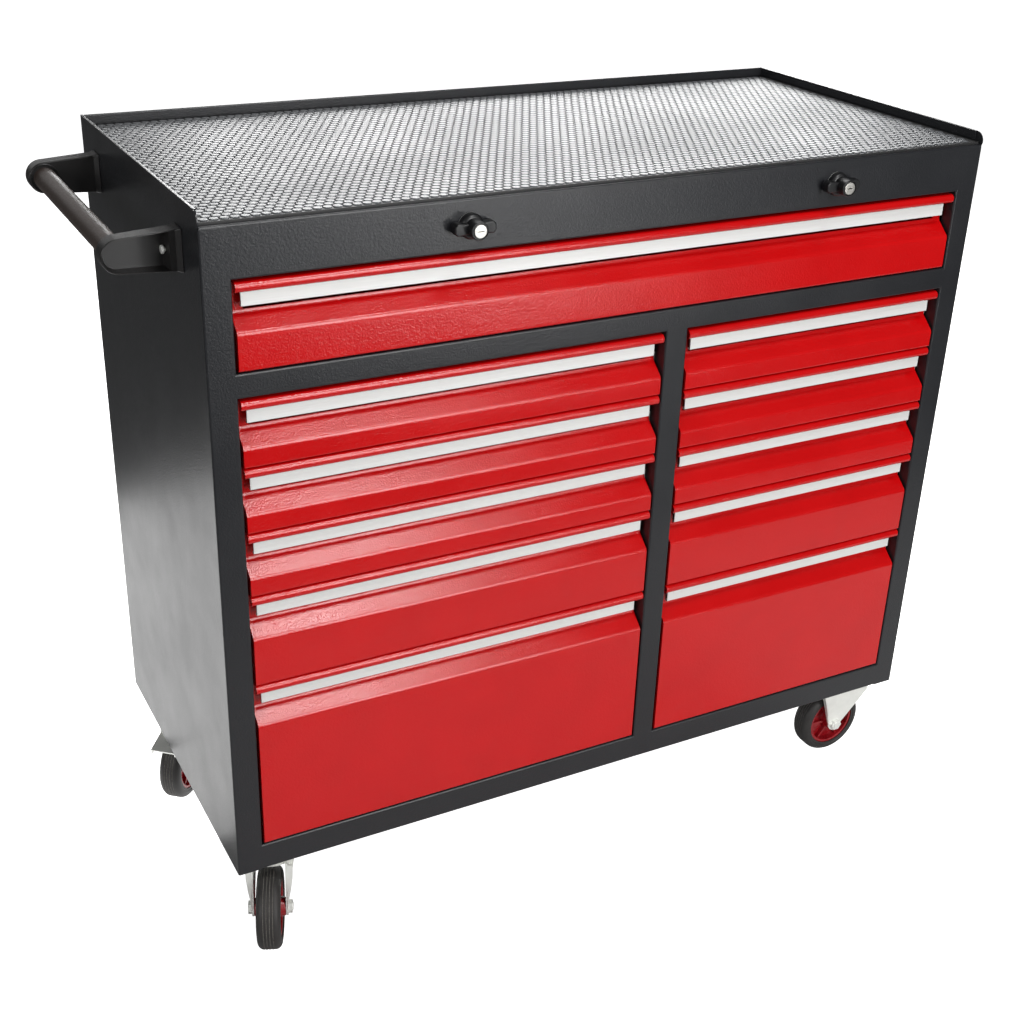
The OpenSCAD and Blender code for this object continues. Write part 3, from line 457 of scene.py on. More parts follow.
FINISH_MAKERS = {
    "Black powder coat": black_powder_coat,
    "Red powder coat": red_powder_coat,
    "Anodised aluminium": anodised_aluminium,
    "Bright zinc plate": bright_zinc,
    "Dull rubber with painted shade": dull_rubber_painted_shade,
    "Silky rubber with painted light": silky_rubber_painted_light,
    "Moulded polyamide": moulded_polyamide,
    "Grained vinyl sleeve": grained_sleeve,
    "Polished acetal": polished_acetal,
    "Turned nickel": turned_nickel,
    "Tyre rubber": tyre_rubber,
    "Workshop dust and painted highlight": workshop_dust_and_highlight,
    "Moulded polypropylene": moulded_polypropylene,
    "Studio floor": studio_floor,
    "Grey paper": grey_paper,
    "White paper": white_paper,
}


def finish(name):
    """A finish by its name, made when it is first asked for."""
    made = bpy.data.materials.get(name)
    return made or FINISH_MAKERS[name](name, bpy.context.scene.cabinet_finishes)


# Shaping

def piece(name, bm, finish_name, body, replaces=()):
    """Makes an object of a bmesh, gives it its finish, and lets it ride on a body."""
    mesh = bpy.data.meshes.new(name)
    bm.to_mesh(mesh)
    bm.free()
    mesh.shade_smooth()
    mesh.set_sharp_from_angle(angle=SMOOTH_ANGLE)
    mesh.materials.append(finish(finish_name))
    made = bpy.data.objects.new(name, mesh)
    bpy.context.scene.collection.objects.link(made)
    flat = made.modifiers.new("Weighted normals", "WEIGHTED_NORMAL")
    flat.keep_sharp = True
    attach(made, body)
    if replaces:
        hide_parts(*replaces)
    return made


def joined(*parts):
    """One bmesh of several, which are used up."""
    whole = parts[0]
    for part in parts[1:]:
        mesh = bpy.data.meshes.new("part")
        part.to_mesh(mesh)
        part.free()
        whole.from_mesh(mesh)
        bpy.data.meshes.remove(mesh)
    return whole


def moved(bm, matrix):
    """A bmesh moved by a matrix; one that mirrors has its faces turned back outwards."""
    bmesh.ops.transform(bm, matrix=matrix, verts=bm.verts[:])
    if matrix.determinant() < 0:
        bmesh.ops.reverse_faces(bm, faces=bm.faces[:])
    return bm


def rounded(bm, edges, radius, segments=3):
    """Rounds edges of a bmesh."""
    bmesh.ops.bevel(bm, geom=list(edges), offset=radius, segments=segments, profile=0.5, affect="EDGES",
                    material=-1, clamp_overlap=True)
    return bm


def sharp_edges(bm, least=30):
    """Edges where two faces meet at more than an angle in degrees."""
    return [e for e in bm.edges if e.is_manifold and e.calc_face_angle() > math.radians(least)]


def new_verts(made):
    """The vertices among what an operator made."""
    return [part for part in made["geom"] if isinstance(part, bmesh.types.BMVert)]


def bent(section, along, folds=(), radius=0.0):
    """An open sheet: a chain of points drawn out along a vector, and rounded at the folds' places in it."""
    bm = bmesh.new()
    chain = [bm.verts.new(point) for point in section]
    edges = [bm.edges.new(pair) for pair in zip(chain, chain[1:])]
    made = bmesh.ops.extrude_edge_only(bm, edges=edges)
    bmesh.ops.translate(bm, verts=new_verts(made), vec=along)
    creases = [e for fold in folds for e in chain[fold].link_edges if len(e.link_faces) == 2]
    if creases:
        rounded(bm, creases, radius, 4)
    return bm


def thickened(bm, thickness, towards):
    """Gives an open sheet its thickness, behind the side that looks in a direction."""
    bmesh.ops.recalc_face_normals(bm, faces=bm.faces[:])
    main = max(bm.faces, key=lambda f: abs(f.normal.dot(towards)) * f.calc_area())
    if main.normal.dot(towards) < 0:
        bmesh.ops.reverse_faces(bm, faces=bm.faces[:])
    bmesh.ops.solidify(bm, geom=bm.faces[:], thickness=thickness)
    return bm


def sheet(section, along, thickness, towards, folds=(), radius=0.0):
    """Folded sheet metal."""
    return thickened(bent(section, along, folds, radius), thickness, towards)


def block(low, high):
    """A box between two corners."""
    bm = bmesh.new()
    bmesh.ops.create_cube(bm, size=1.0)
    low, high = Vector(low), Vector(high)
    bmesh.ops.scale(bm, verts=bm.verts[:], vec=high - low)
    bmesh.ops.translate(bm, verts=bm.verts[:], vec=(low + high) / 2)
    return bm


def plate(outline, along):
    """A solid of a flat outline drawn out along a vector."""
    bm = bmesh.new()
    face = bm.faces.new([bm.verts.new(point) for point in outline])
    made = bmesh.ops.extrude_face_region(bm, geom=[face], use_keep_orig=True)
    bmesh.ops.translate(bm, verts=new_verts(made), vec=along)
    bmesh.ops.recalc_face_normals(bm, faces=bm.faces[:])
    return bm


def arc(centre, radius, start, end, steps):
    """Points on an arc, as pairs of across and up, from one angle to another in degrees."""
    turns = [math.radians(start + (end - start) * i / steps) for i in range(steps + 1)]
    return [(centre[0] + radius * math.cos(a), centre[1] + radius * math.sin(a)) for a in turns]


def turned(section, steps, closed=True):
    """A solid turned about the Y axis from a section of (radius, place on the axis)."""
    bm = bmesh.new()
    chain = [bm.verts.new((radius, along, 0)) for radius, along in section]
    pairs = list(zip(chain, chain[1:])) + ([(chain[-1], chain[0])] if closed else [])
    edges = [bm.edges.new(pair) for pair in pairs]
    bmesh.ops.spin(bm, geom=chain + edges, cent=(0, 0, 0), axis=BACKWARDS, dvec=(0, 0, 0),
                   angle=math.tau, steps=steps, use_merge=True)
    bmesh.ops.remove_doubles(bm, verts=bm.verts[:], dist=MERGE_DIST)
    bmesh.ops.recalc_face_normals(bm, faces=bm.faces[:])
    return bm


def edge_rounded_copy(node, radius):
    """A merged copy of a solid, with its sharp edges rounded."""
    bm = bmesh.new()
    bm.from_mesh(frame["nodes"][node].data)
    bmesh.ops.remove_doubles(bm, verts=bm.verts[:], dist=0.002 * MM)
    bmesh.ops.dissolve_limit(bm, angle_limit=math.radians(0.5), verts=bm.verts[:], edges=bm.edges[:])
    return rounded(bm, sharp_edges(bm, 35), radius, 2)


# Carcass

def side_panel(sizes):
    """Left side panel: wall, stile and return from one sheet, with a hemmed lip that has a round corner."""
    stile_top = DECK_Z - sizes.corner_tab
    plan = [(LEFT_STILE_X, FRONT_Y + RETURN_L, BASE_Z), (LEFT_STILE_X, FRONT_Y, BASE_Z),
            (LEFT_X, FRONT_Y, BASE_Z), (LEFT_X, BACK_Y, BASE_Z)]
    bm = bent(plan, (0, 0, stile_top - BASE_Z), (1, 2), sizes.fold_r)
    edge = max((e for e in bm.edges if min(v.co.z for v in e.verts) > stile_top - sizes.fold_r),
               key=lambda e: e.calc_length())
    lip_y, hem_x = FRONT_Y + sizes.lip_corner_r, LEFT_X + sizes.hem_w
    corner = arc((lip_y, LIP_Z - sizes.lip_corner_r), sizes.lip_corner_r, 180, 90, 5)
    rows = [(LEFT_X, y, z) for y, z in corner] + [(hem_x, lip_y, LIP_Z), (hem_x, lip_y, LIP_Z - sizes.hem_h)]
    for x, front, z in rows:
        made = bmesh.ops.extrude_edge_only(bm, edges=[edge])
        ends = sorted(new_verts(made), key=lambda v: v.co.y)
        for end, y in zip(ends, (front, BACK_Y)):
            end.co = (x, y, z)
        edge = bm.edges.get(ends)
    top = [e for e in bm.edges if len(e.link_faces) == 2 and all(abs(v.co.z - LIP_Z) < 1e-6 for v in e.verts)]
    rounded(bm, top, HEM_ROUNDING * sizes.hem_w, 4)
    return thickened(bm, SHEET_T, LEFTWARDS)


def deck_and_fascia(sizes):
    """Deck folded down into the fascia, and folded over each stile at its ends."""
    start, span = LEFT_STILE_X - sizes.fold_r, RIGHT_STILE_X - LEFT_STILE_X + 2 * sizes.fold_r
    fascia = sheet([(start, INNER_BACK_Y, DECK_Z), (start, FRONT_Y, DECK_Z), (start, FRONT_Y, FASCIA_Z),
                    (start, FRONT_Y + RETURN_L, FASCIA_Z)],
                   (span, 0, 0), SHEET_T, UPWARDS, (1, 2), sizes.fold_r)
    tab_w = start - LEFT_X - SHEET_T
    tabs = [sheet([(x, INNER_BACK_Y, DECK_Z), (x, FRONT_Y, DECK_Z), (x, FRONT_Y, DECK_Z - sizes.corner_tab)],
                  (tab_w, 0, 0), SHEET_T, UPWARDS, (1,), sizes.fold_r)
            for x in (LEFT_X + SHEET_T, start + span)]
    return joined(fascia, *tabs)


def cross_rail(sizes):
    """Channel under the wide drawer, welded flush to the stiles' folds."""
    low, high, x = RAIL_LOW, RAIL_HIGH, RAIL_LOW.x - sizes.fold_r
    section = [(x, high.y, low.z), (x, low.y, low.z), (x, low.y, high.z), (x, high.y, high.z)]
    return sheet(section, (high.x - low.x + 2 * sizes.fold_r, 0, 0), SHEET_T, FORWARDS, (1, 2), sizes.fold_r)


def base(sizes):
    """Base pan folded up into the bottom rail."""
    x = LEFT_STILE_X - sizes.fold_r
    pan = sheet([(x, INNER_BACK_Y, BASE_Z), (x, FRONT_Y, BASE_Z), (x, FRONT_Y, BOTTOM_RAIL_Z),
                 (x, FRONT_Y + RETURN_L, BOTTOM_RAIL_Z)],
                (RIGHT_STILE_X + sizes.fold_r - x, 0, 0), SHEET_T, DOWNWARDS, (1, 2), sizes.fold_r)
    sides = [sheet([(side, INNER_BACK_Y, BASE_Z), (side, FRONT_Y + SHEET_T, BASE_Z)],
                   (x - LEFT_X - SHEET_T, 0, 0), SHEET_T, DOWNWARDS)
             for side in (LEFT_X + SHEET_T, RIGHT_STILE_X + sizes.fold_r)]
    return joined(pan, *sides)


def divider(sizes):
    """Channel between the two columns, with its sides carried down to the base pan."""
    low, high, z = DIVIDER_LOW, DIVIDER_HIGH, BOTTOM_RAIL_Z - sizes.fold_r
    plan = [(low.x, high.y, z), (low.x, low.y, z), (high.x, low.y, z), (high.x, high.y, z)]
    channel = sheet(plan, (0, 0, high.z + sizes.fold_r - z), SHEET_T, FORWARDS, (1, 2), sizes.fold_r)
    feet = [sheet([(x, FRONT_Y + RETURN_L, low.z), (x, high.y, low.z)], (0, 0, BOTTOM_RAIL_Z - low.z),
                  SHEET_T, towards) for x, towards in ((low.x, LEFTWARDS), (high.x, RIGHTWARDS))]
    return joined(channel, *feet)


def back(sizes):
    """Back panel with its hemmed lip, and the straps that guide the lock bars."""
    x, hem_y = LEFT_X + SHEET_T, BACK_Y - sizes.hem_w
    section = [(x, BACK_Y, BASE_Z), (x, BACK_Y, LIP_Z), (x, hem_y, LIP_Z), (x, hem_y, LIP_Z - sizes.hem_h)]
    panel = sheet(section, (RIGHT_X - LEFT_X - 2 * SHEET_T, 0, 0), SHEET_T, BACKWARDS, (1, 2),
                  HEM_ROUNDING * sizes.hem_w)
    low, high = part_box("drawer_left_5")
    straps = []
    for side in LOCK_SIDES:
        middle = sum(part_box("lock_bar_" + side), Vector()).x / 2
        reach = sizes.strap_w / 2 + SHEET_T
        for z in ((low.z + high.z) / 2, FASCIA_Z - sizes.strap_drop):
            front = INNER_BACK_Y - sizes.strap_d
            plan = [(middle - reach, INNER_BACK_Y, z), (middle - reach, front, z),
                    (middle + reach, front, z), (middle + reach, INNER_BACK_Y, z)]
            straps.append(sheet(plan, (0, 0, sizes.strap_h), SHEET_T, FORWARDS, (1, 2), sizes.fold_r))
    return joined(panel, *straps)


class TOOLCABINET_OT_carcass(bpy.types.Operator):
    """Folds the black carcass"""

    bl_idname = "tool_cabinet.carcass"
    bl_label = "Carcass"

    def execute(self, context):
        sizes = context.scene.cabinet_carcass
        across = Matrix.Translation((2 * MIDDLE_X, 0, 0)) @ Matrix.Diagonal((-1, 1, 1, 1))
        for name, bm, node in (
            ("side_panel_folded_left", side_panel(sizes), "left_side_panel"),
            ("side_panel_folded_right", moved(side_panel(sizes), across), "right_side_panel"),
            ("deck_and_fascia", deck_and_fascia(sizes), "worktop_deck"),
            ("cross_rail", cross_rail(sizes), "mid_rail"),
            ("base_and_bottom_rail", base(sizes), "base_pan"),
            ("divider_channel", divider(sizes), "centre_divider"),
            ("back_panel_hemmed", back(sizes), "back_panel"),
        ):
            piece(name, bm, "Black powder coat", "cabinet", [node])
        return {"FINISHED"}


class TOOLCABINET_OT_mat(bpy.types.Operator):
    """Lays the studded rubber mat"""

    bl_idname = "tool_cabinet.mat"
    bl_label = "Mat"

    def execute(self, context):
        sizes = context.scene.cabinet_mat
        low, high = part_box("worktop_mat")
        slab = block(low, high)
        rounded(slab, [e for e in slab.edges if max(v.co.z for v in e.verts) > high.z - sizes.edge_r],
                sizes.edge_r, 2)
        # The sheet between the studs carries painted shade
        piece("mat_sheet", slab, "Dull rubber with painted shade", "cabinet", ["worktop_mat"])
        radius = sizes.stud_d / 2
        first = low + Vector((sizes.margin + radius, sizes.margin + radius, 0))
        room = high - low - 2 * Vector((sizes.margin + radius, sizes.margin + radius, 0))
        for shift in (0, 1):
            stud = bmesh.new()
            bmesh.ops.create_cone(stud, cap_ends=True, segments=10, radius1=radius,
                                  radius2=radius - sizes.stud_edge, depth=0.8 * sizes.stud_h)
            crown = max(stud.faces, key=lambda f: f.calc_center_median().z)
            bmesh.ops.delete(stud, geom=[min(stud.faces, key=lambda f: f.calc_center_median().z)],
                             context="FACES_ONLY")
            bmesh.ops.inset_region(stud, faces=[crown], thickness=2 * sizes.stud_edge,
                                   depth=0.2 * sizes.stud_h)
            place = Vector((first.x + shift * sizes.pitch / 2, first.y + shift * sizes.row,
                            high.z + 0.4 * sizes.stud_h))
            bmesh.ops.translate(stud, verts=stud.verts[:], vec=place)
            # The studs carry painted light on their tops
            made = piece(f"mat_studs_painted_light_{shift}", stud, "Silky rubber with painted light", "cabinet", ["worktop_mat"])
            for axis, step, space in ((0, sizes.pitch, room.x - shift * sizes.pitch / 2),
                                      (1, 2 * sizes.row, room.y - shift * sizes.row)):
                array = made.modifiers.new("Row" if axis == 0 else "Rows", "ARRAY")
                array.use_relative_offset = False
                array.use_constant_offset = True
                array.constant_offset_displace = [step if i == axis else 0 for i in range(3)]
                array.count = int(space / step) + 1
        return {"FINISHED"}


# Drawers

def drawer_front(sizes, name):
    """Front of a drawer, one sheet folded from its bottom flange to its rolled nose, with closed ends."""
    low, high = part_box("drawer_" + name)
    recess_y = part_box("pull_" + name)[1].y
    front_y, top, t = low.y + sizes.nose_proud, high.z, sizes.sheet_t
    bend_z, slope_z = top - sizes.bend_drop, top - sizes.bend_drop + sizes.slope_rise
    centre = (front_y + sizes.nose_r - sizes.nose_proud, top - sizes.nose_r)
    roll = arc(centre, sizes.nose_r - t, 90, 270, 12)
    section = [(recess_y + t, low.z), (front_y, low.z), (front_y, bend_z), (recess_y, slope_z),
               (recess_y, top - t)] + roll
    front = sheet([(low.x, y, z) for y, z in section], (high.x - low.x, 0, 0), t, FORWARDS, (1, 2, 3, 4),
                  sizes.fold_r)
    end = [(front_y + t, low.z + t), (recess_y + t, low.z + t), (recess_y + t, slope_z),
           (recess_y, slope_z - t), (front_y + t, bend_z - t / 2)]
    inset = 0.2 * MM
    caps = [plate([(x, y, z) for y, z in end], (t, 0, 0)) for x in (low.x + inset, high.x - t - inset)]
    return joined(front, *caps)


def drawer_tray(sizes, name):
    """Open tray with rounded folds and a hemmed rim."""
    low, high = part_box("drawer_" + name)
    recess_y, depth_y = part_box("pull_" + name)[1].y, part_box("slides_" + name)[1].y
    corner = Vector((low.x + sizes.tray_inset, recess_y, low.z + sizes.tray_lift))
    far = Vector((high.x - sizes.tray_inset, depth_y, high.z - sizes.tray_drop))
    bm = block(corner, far)
    lid = max(bm.faces, key=lambda f: f.calc_center_median().z)
    bmesh.ops.delete(bm, geom=[lid], context="FACES_ONLY")
    rounded(bm, [e for e in bm.edges if len(e.link_faces) == 2], sizes.fold_r, 3)
    middle = (corner + far) / 2
    for inwards, drop in ((sizes.rim_w, 0.0), (0.0, sizes.rim_h)):
        edges = [e for e in bm.edges if e.is_boundary]
        for v in new_verts(bmesh.ops.extrude_edge_only(bm, edges=edges)):
            v.co.x -= math.copysign(inwards, v.co.x - middle.x)
            v.co.y -= math.copysign(inwards, v.co.y - middle.y)
            v.co.z -= drop
    return thickened(bm, sizes.sheet_t, DOWNWARDS)


def drawer_catches(sizes, name):
    """Bent tabs behind a tray that the lock bars hold."""
    low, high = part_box("drawer_" + name)
    depth_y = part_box("slides_" + name)[1].y
    z = low.z + sizes.tray_lift + 2 * sizes.catch_h + sizes.catch_t
    middles = [sum(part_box("lock_bar_" + side), Vector()).x / 2 for side in LOCK_SIDES]
    tabs = []
    for middle in middles:
        if low.x < middle < high.x:
            x = middle - sizes.catch_w / 2
            section = [(x, depth_y, z), (x, high.y, z), (x, high.y, z - sizes.catch_h - sizes.catch_t)]
            tabs.append(sheet(section, (sizes.catch_w, 0, 0), sizes.catch_t, BACKWARDS, (1,), sizes.fold_r))
    return tabs


class TOOLCABINET_OT_drawers(bpy.types.Operator):
    """Folds the red drawers"""

    bl_idname = "tool_cabinet.drawers"
    bl_label = "Drawers"

    def execute(self, context):
        sizes = context.scene.cabinet_drawers
        for name in DRAWERS:
            bm = joined(drawer_front(sizes, name), drawer_tray(sizes, name), *drawer_catches(sizes, name))
            piece(f"drawer_folded_{name}", bm, "Red powder coat", "drawer_" + name,
                  ["drawer_" + name])
        return {"FINISHED"}


class TOOLCABINET_OT_pulls(bpy.types.Operator):
    """Draws the aluminium pull strips"""

    bl_idname = "tool_cabinet.pulls"
    bl_label = "Pull strips"

    def execute(self, context):
        sizes = context.scene.cabinet_pulls
        for name in DRAWERS:
            low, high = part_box("pull_" + name)
            section = [(low.x, low.y + sizes.lip, low.z), (low.x, low.y, low.z), (low.x, low.y, high.z),
                       (low.x, high.y, high.z)]
            strip = sheet(section, (high.x - low.x, 0, 0), sizes.wall, FORWARDS, (1, 2), sizes.edge_r)
            piece(f"pull_strip_{name}", strip, "Anodised aluminium", "drawer_" + name,
                  ["pull_" + name])
        return {"FINISHED"}


class TOOLCABINET_OT_slides(bpy.types.Operator):
    """Rounds the slides, their posts and the lock bars"""

    bl_idname = "tool_cabinet.slides"
    bl_label = "Slides and lock bars"

    def execute(self, context):
        members = [(f"slide_members_{name}", "slides_" + name, "drawer_" + name) for name in DRAWERS]
        members += [(node + "_rounded", node, "cabinet") for node in ("slide_outer_rails", "slide_posts")]
        members += [(node + "_rounded", node, node) for node in ("lock_bar_left", "lock_bar_right")]
        for name, node, body in members:
            bm = edge_rounded_copy(node, FINE_EDGE_R)
            piece(name, bm, "Bright zinc plate", body, [node])
        return {"FINISHED"}


# Push handle

def bracket(sizes, bar_x):
    """Moulded bracket about the bar's height, with its pocket to the front and its collar at the back."""
    half, end_r = sizes.root_h / 2, sizes.end_r
    end = arc((bar_x, 0), end_r, 95, 265, 24)
    arm = plate([(x, 0, z) for x, z in [(0, half)] + end + [(0, -half)]], (0, sizes.arm_t, 0))
    outer = min(arm.faces, key=lambda f: f.calc_center_median().y)
    bmesh.ops.bisect_plane(arm, geom=[outer] + outer.edges[:] + outer.verts[:], dist=MERGE_DIST,
                           plane_co=(sizes.rim - sizes.pocket_root, 0, 0), plane_no=RIGHTWARDS)
    pocket = min((f for f in arm.faces if abs(f.normal.y) > 0.9 and f.calc_center_median().y < sizes.rim),
                 key=lambda f: f.calc_center_median().x)
    bmesh.ops.inset_region(arm, faces=[pocket], thickness=sizes.rim, use_even_offset=True)
    near, far = -sizes.pocket_root, bar_x - end_r
    for v in pocket.verts:
        depth = (v.co.x - far) / (near - far)
        v.co.y += sizes.pocket_end + (sizes.pocket_deep - sizes.pocket_end) * depth
    rounded(arm, sharp_edges(arm), sizes.edge_r, 3)
    foot = block((-2 * sizes.foot_t, (sizes.arm_t - sizes.foot_l) / 2, -sizes.foot_h / 2),
                 (0, (sizes.arm_t + sizes.foot_l) / 2, sizes.foot_h / 2))
    lip = [v for v in foot.verts if v.co.x < -sizes.foot_t]
    taper = (1, 0.8 * sizes.arm_t / sizes.foot_l, 0.94 * sizes.root_h / sizes.foot_h)
    bmesh.ops.scale(foot, verts=lip, vec=taper, space=Matrix.Translation((0, -sizes.arm_t / 2, 0)))
    rounded(foot, sharp_edges(foot, 10), sizes.edge_r, 3)
    inner, outer_r = end_r - sizes.collar_wall, end_r - sizes.edge_r
    ring = turned([(inner, 0), (outer_r, 0), (outer_r, sizes.collar), (inner, sizes.collar)], 48)
    rounded(ring, sharp_edges(ring), 0.4 * sizes.collar, 2)
    moved(ring, Matrix.Translation((bar_x, sizes.arm_t - 0.1 * MM, 0)))
    return joined(arm, foot, ring)


class TOOLCABINET_OT_handle(bpy.types.Operator):
    """Builds the push handle's brackets, bar and screws"""

    bl_idname = "tool_cabinet.handle"
    bl_label = "Push handle"

    def execute(self, context):
        sizes = context.scene.cabinet_handle
        low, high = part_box("handle_brackets")
        bar_low, bar_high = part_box("handle_bar")
        bar = (bar_low + bar_high) / 2
        overhang = (sizes.foot_l - sizes.arm_t) / 2
        front = Matrix.Translation((LEFT_X, low.y + overhang, bar.z))
        rear = Matrix.Translation((LEFT_X, high.y - overhang, bar.z)) @ Matrix.Diagonal((1, -1, 1, 1))
        arms = joined(*[moved(bracket(sizes, bar.x - LEFT_X), place) for place in (front, rear)])
        piece("handle_brackets_moulded", arms, "Moulded polyamide", "cabinet",
              ["handle_brackets"])
        radius, half = (bar_high.x - bar_low.x) / 2, (bar_high.y - bar_low.y) / 2
        sleeve = turned([(0, -half), (radius, -half), (radius, half), (0, half)], 64, closed=False)
        rounded(sleeve, sharp_edges(sleeve), sizes.edge_r, 2)
        piece("handle_bar_sleeved", moved(sleeve, Matrix.Translation(bar)), "Grained vinyl sleeve", "cabinet",
              ["handle_bar"])
        piece("handle_screws_rounded", edge_rounded_copy("handle_screws", 0.6 * MM), "Bright zinc plate",
              "cabinet", ["handle_screws"])
        return {"FINISHED"}


# Locks

def knob(sizes):
    """Knob about the middle of its base: domed base, bow-tie wings and a barrel with a recessed face."""
    base_r, barrel_r, key_r = sizes.base_d / 2, sizes.barrel_d / 2, sizes.key_d / 2
    shoulder = 0.55 * sizes.base_h
    dome = arc((base_r - shoulder, -(sizes.base_h - shoulder)), shoulder, 0, -90, 8)
    foot = turned([(barrel_r / 2, 0), (base_r, 0)] + dome + [(barrel_r / 2, -sizes.base_h)], 64)
    recess, rim = 1.0 * MM, 1.6 * MM
    rounding = arc((barrel_r - rim / 2, rim / 2 - sizes.reach), rim / 2, 0, -90, 4)
    barrel = turned([(key_r, -sizes.wing_back), (barrel_r, -sizes.wing_back)] + rounding
                    + [(key_r + rim, -sizes.reach), (key_r + rim, recess - sizes.reach),
                       (key_r, recess - sizes.reach)], 64)
    half_w, waist, tip = sizes.wing_w / 2, sizes.wing_waist / 2, sizes.wing_h / 2
    corner = 2 * sizes.edge_r
    quarter = [(barrel_r / 2, waist), (half_w - corner, tip), (half_w, tip - corner)]
    outline = (quarter + [(x, -z) for x, z in reversed(quarter)] + [(-x, -z) for x, z in quarter]
               + [(-x, z) for x, z in reversed(quarter)])
    wings = plate([(x, -sizes.wing_back, z) for x, z in outline], (0, sizes.wing_back - sizes.wing_reach, 0))
    rounded(wings, sharp_edges(wings, 25), sizes.edge_r, 3)
    return joined(foot, barrel, wings)


def key_cylinder(sizes):
    """Key cylinder with its slot, about the middle of the knob's base."""
    length_y = sizes.key_depth + sizes.key_proud
    bm = bmesh.new()
    bmesh.ops.create_cone(bm, cap_ends=True, segments=48, radius1=sizes.key_d / 2, radius2=sizes.key_d / 2,
                          depth=length_y)
    middle = -sizes.reach - sizes.key_proud + length_y / 2
    moved(bm, Matrix.Translation((0, middle, 0)) @ Matrix.Rotation(math.radians(90), 4, "X"))
    rounded(bm, sharp_edges(bm), 0.5 * MM, 2)
    face = min(bm.faces, key=lambda f: f.calc_center_median().y)
    bmesh.ops.inset_region(bm, faces=[face], thickness=sizes.key_d / 8)
    across = max(v.co.x for v in face.verts)
    slot = (sizes.slot_l / 2 / across, 1, sizes.slot_w / 2 / across)
    bmesh.ops.scale(bm, verts=face.verts[:], vec=slot)
    made = bmesh.ops.extrude_discrete_faces(bm, faces=[face])
    bmesh.ops.translate(bm, verts=made["faces"][0].verts[:], vec=(0, sizes.slot_d, 0))
    return bm


def lock_shaft(node):
    """The part of a lock that is behind the fascia."""
    bm = edge_rounded_copy(node, FINE_EDGE_R)
    cut = bmesh.ops.bisect_plane(bm, geom=bm.verts[:] + bm.edges[:] + bm.faces[:], dist=MERGE_DIST,
                                 plane_co=(0, FRONT_Y - 0.5 * MM, 0), plane_no=BACKWARDS, clear_inner=True)
    bmesh.ops.holes_fill(bm, edges=[e for e in cut["geom_cut"] if isinstance(e, bmesh.types.BMEdge)])
    return bm


class TOOLCABINET_OT_locks(bpy.types.Operator):
    """Builds the lock knobs with their key cylinders"""

    bl_idname = "tool_cabinet.locks"
    bl_label = "Lock knobs"

    def execute(self, context):
        sizes = context.scene.cabinet_locks
        for side in LOCK_SIDES:
            node = "lock_knob_" + side
            place = Matrix.Translation(JOINTS[node]["pos_m"])
            for name, bm, finish_name in (
                ("winged", moved(knob(sizes), place), "Polished acetal"),
                ("key", moved(key_cylinder(sizes), place), "Turned nickel"),
                ("shaft", lock_shaft(node), "Bright zinc plate"),
            ):
                piece(f"{node}_{name}", bm, finish_name, node, [node])
        return {"FINISHED"}


# Casters

def groove_places(sizes):
    """Places of the tread grooves across the tyre."""
    return [sizes.groove_pitch * step for step in (-1.5, -0.5, 0.5, 1.5)]


def groove_dust_and_highlight(sizes, wheel_r):
    """Pale rings on the floors of the tread grooves: dust, and painted highlight along the grooves' edges."""
    half, floor = 0.3 * sizes.groove_w, wheel_r - sizes.groove_d
    crest = floor + sizes.dust_and_highlight_h
    return joined(*[turned([(floor - sizes.dust_and_highlight_h, y - half), (crest, y - half), (crest, y + half),
                            (floor - sizes.dust_and_highlight_h, y + half)], 96) for y in groove_places(sizes)])


def tyre(sizes, wheel_r):
    """Tyre about its axle, with rounded shoulders, tread grooves and a bead at each side."""
    half, rim_r, r = sizes.tread_w / 2, wheel_r - sizes.tyre_h, sizes.shoulder_r
    bead, bead_h = 0.8 * MM, 3 * MM
    side = [(rim_r, -half + bead), (rim_r + bead_h, -half + bead), (rim_r + bead_h + bead, -half)]
    side += arc((wheel_r - r, -half + r), r, -90, 0, 6)
    groove_w, groove_z = sizes.groove_w / 2, wheel_r - sizes.groove_d
    grooves = []
    for middle in groove_places(sizes):
        grooves += [(wheel_r, middle - groove_w), (groove_z, middle - groove_w / 2),
                    (groove_z, middle + groove_w / 2), (wheel_r, middle + groove_w)]
    far_side = [(radius, -along) for radius, along in reversed(side)]
    return turned(side + grooves + far_side, 96)


def rim(sizes, wheel_r):
    """Moulded rim about its axle: flange, dished web, hub and ribs."""
    rim_r, bore, hub = wheel_r - sizes.tyre_h, sizes.bore_d / 2, sizes.hub_d / 2
    inner, half, hub_half = rim_r - sizes.rim_wall, sizes.rim_w / 2, sizes.hub_l / 2
    side = [(bore, -hub_half), (0.8 * hub, -hub_half), (hub, -sizes.web_hub_t / 2),
            (inner, -sizes.web_rim_t / 2), (inner, -half), (rim_r, -half)]
    body = turned(side + [(radius, -along) for radius, along in reversed(side)], 72)
    rounded(body, sharp_edges(body), sizes.rim_edge_r, 2)
    ribs, rib_inset, rib_sink = [], 2 * MM, 1 * MM
    for i in range(sizes.ribs):
        rib = block((0.75 * hub, rib_inset - half, -sizes.rib_t / 2),
                    (inner + rib_sink, half - rib_inset, sizes.rib_t / 2))
        outer = [v for v in rib.verts if v.co.x > inner]
        bmesh.ops.scale(rib, verts=outer, vec=(1, 0.8, 1))
        rounded(rib, rib.edges[:], 0.5 * MM, 2)
        ribs.append(moved(rib, Matrix.Rotation(math.tau * i / sizes.ribs, 4, "Y")))
    return joined(body, *ribs)


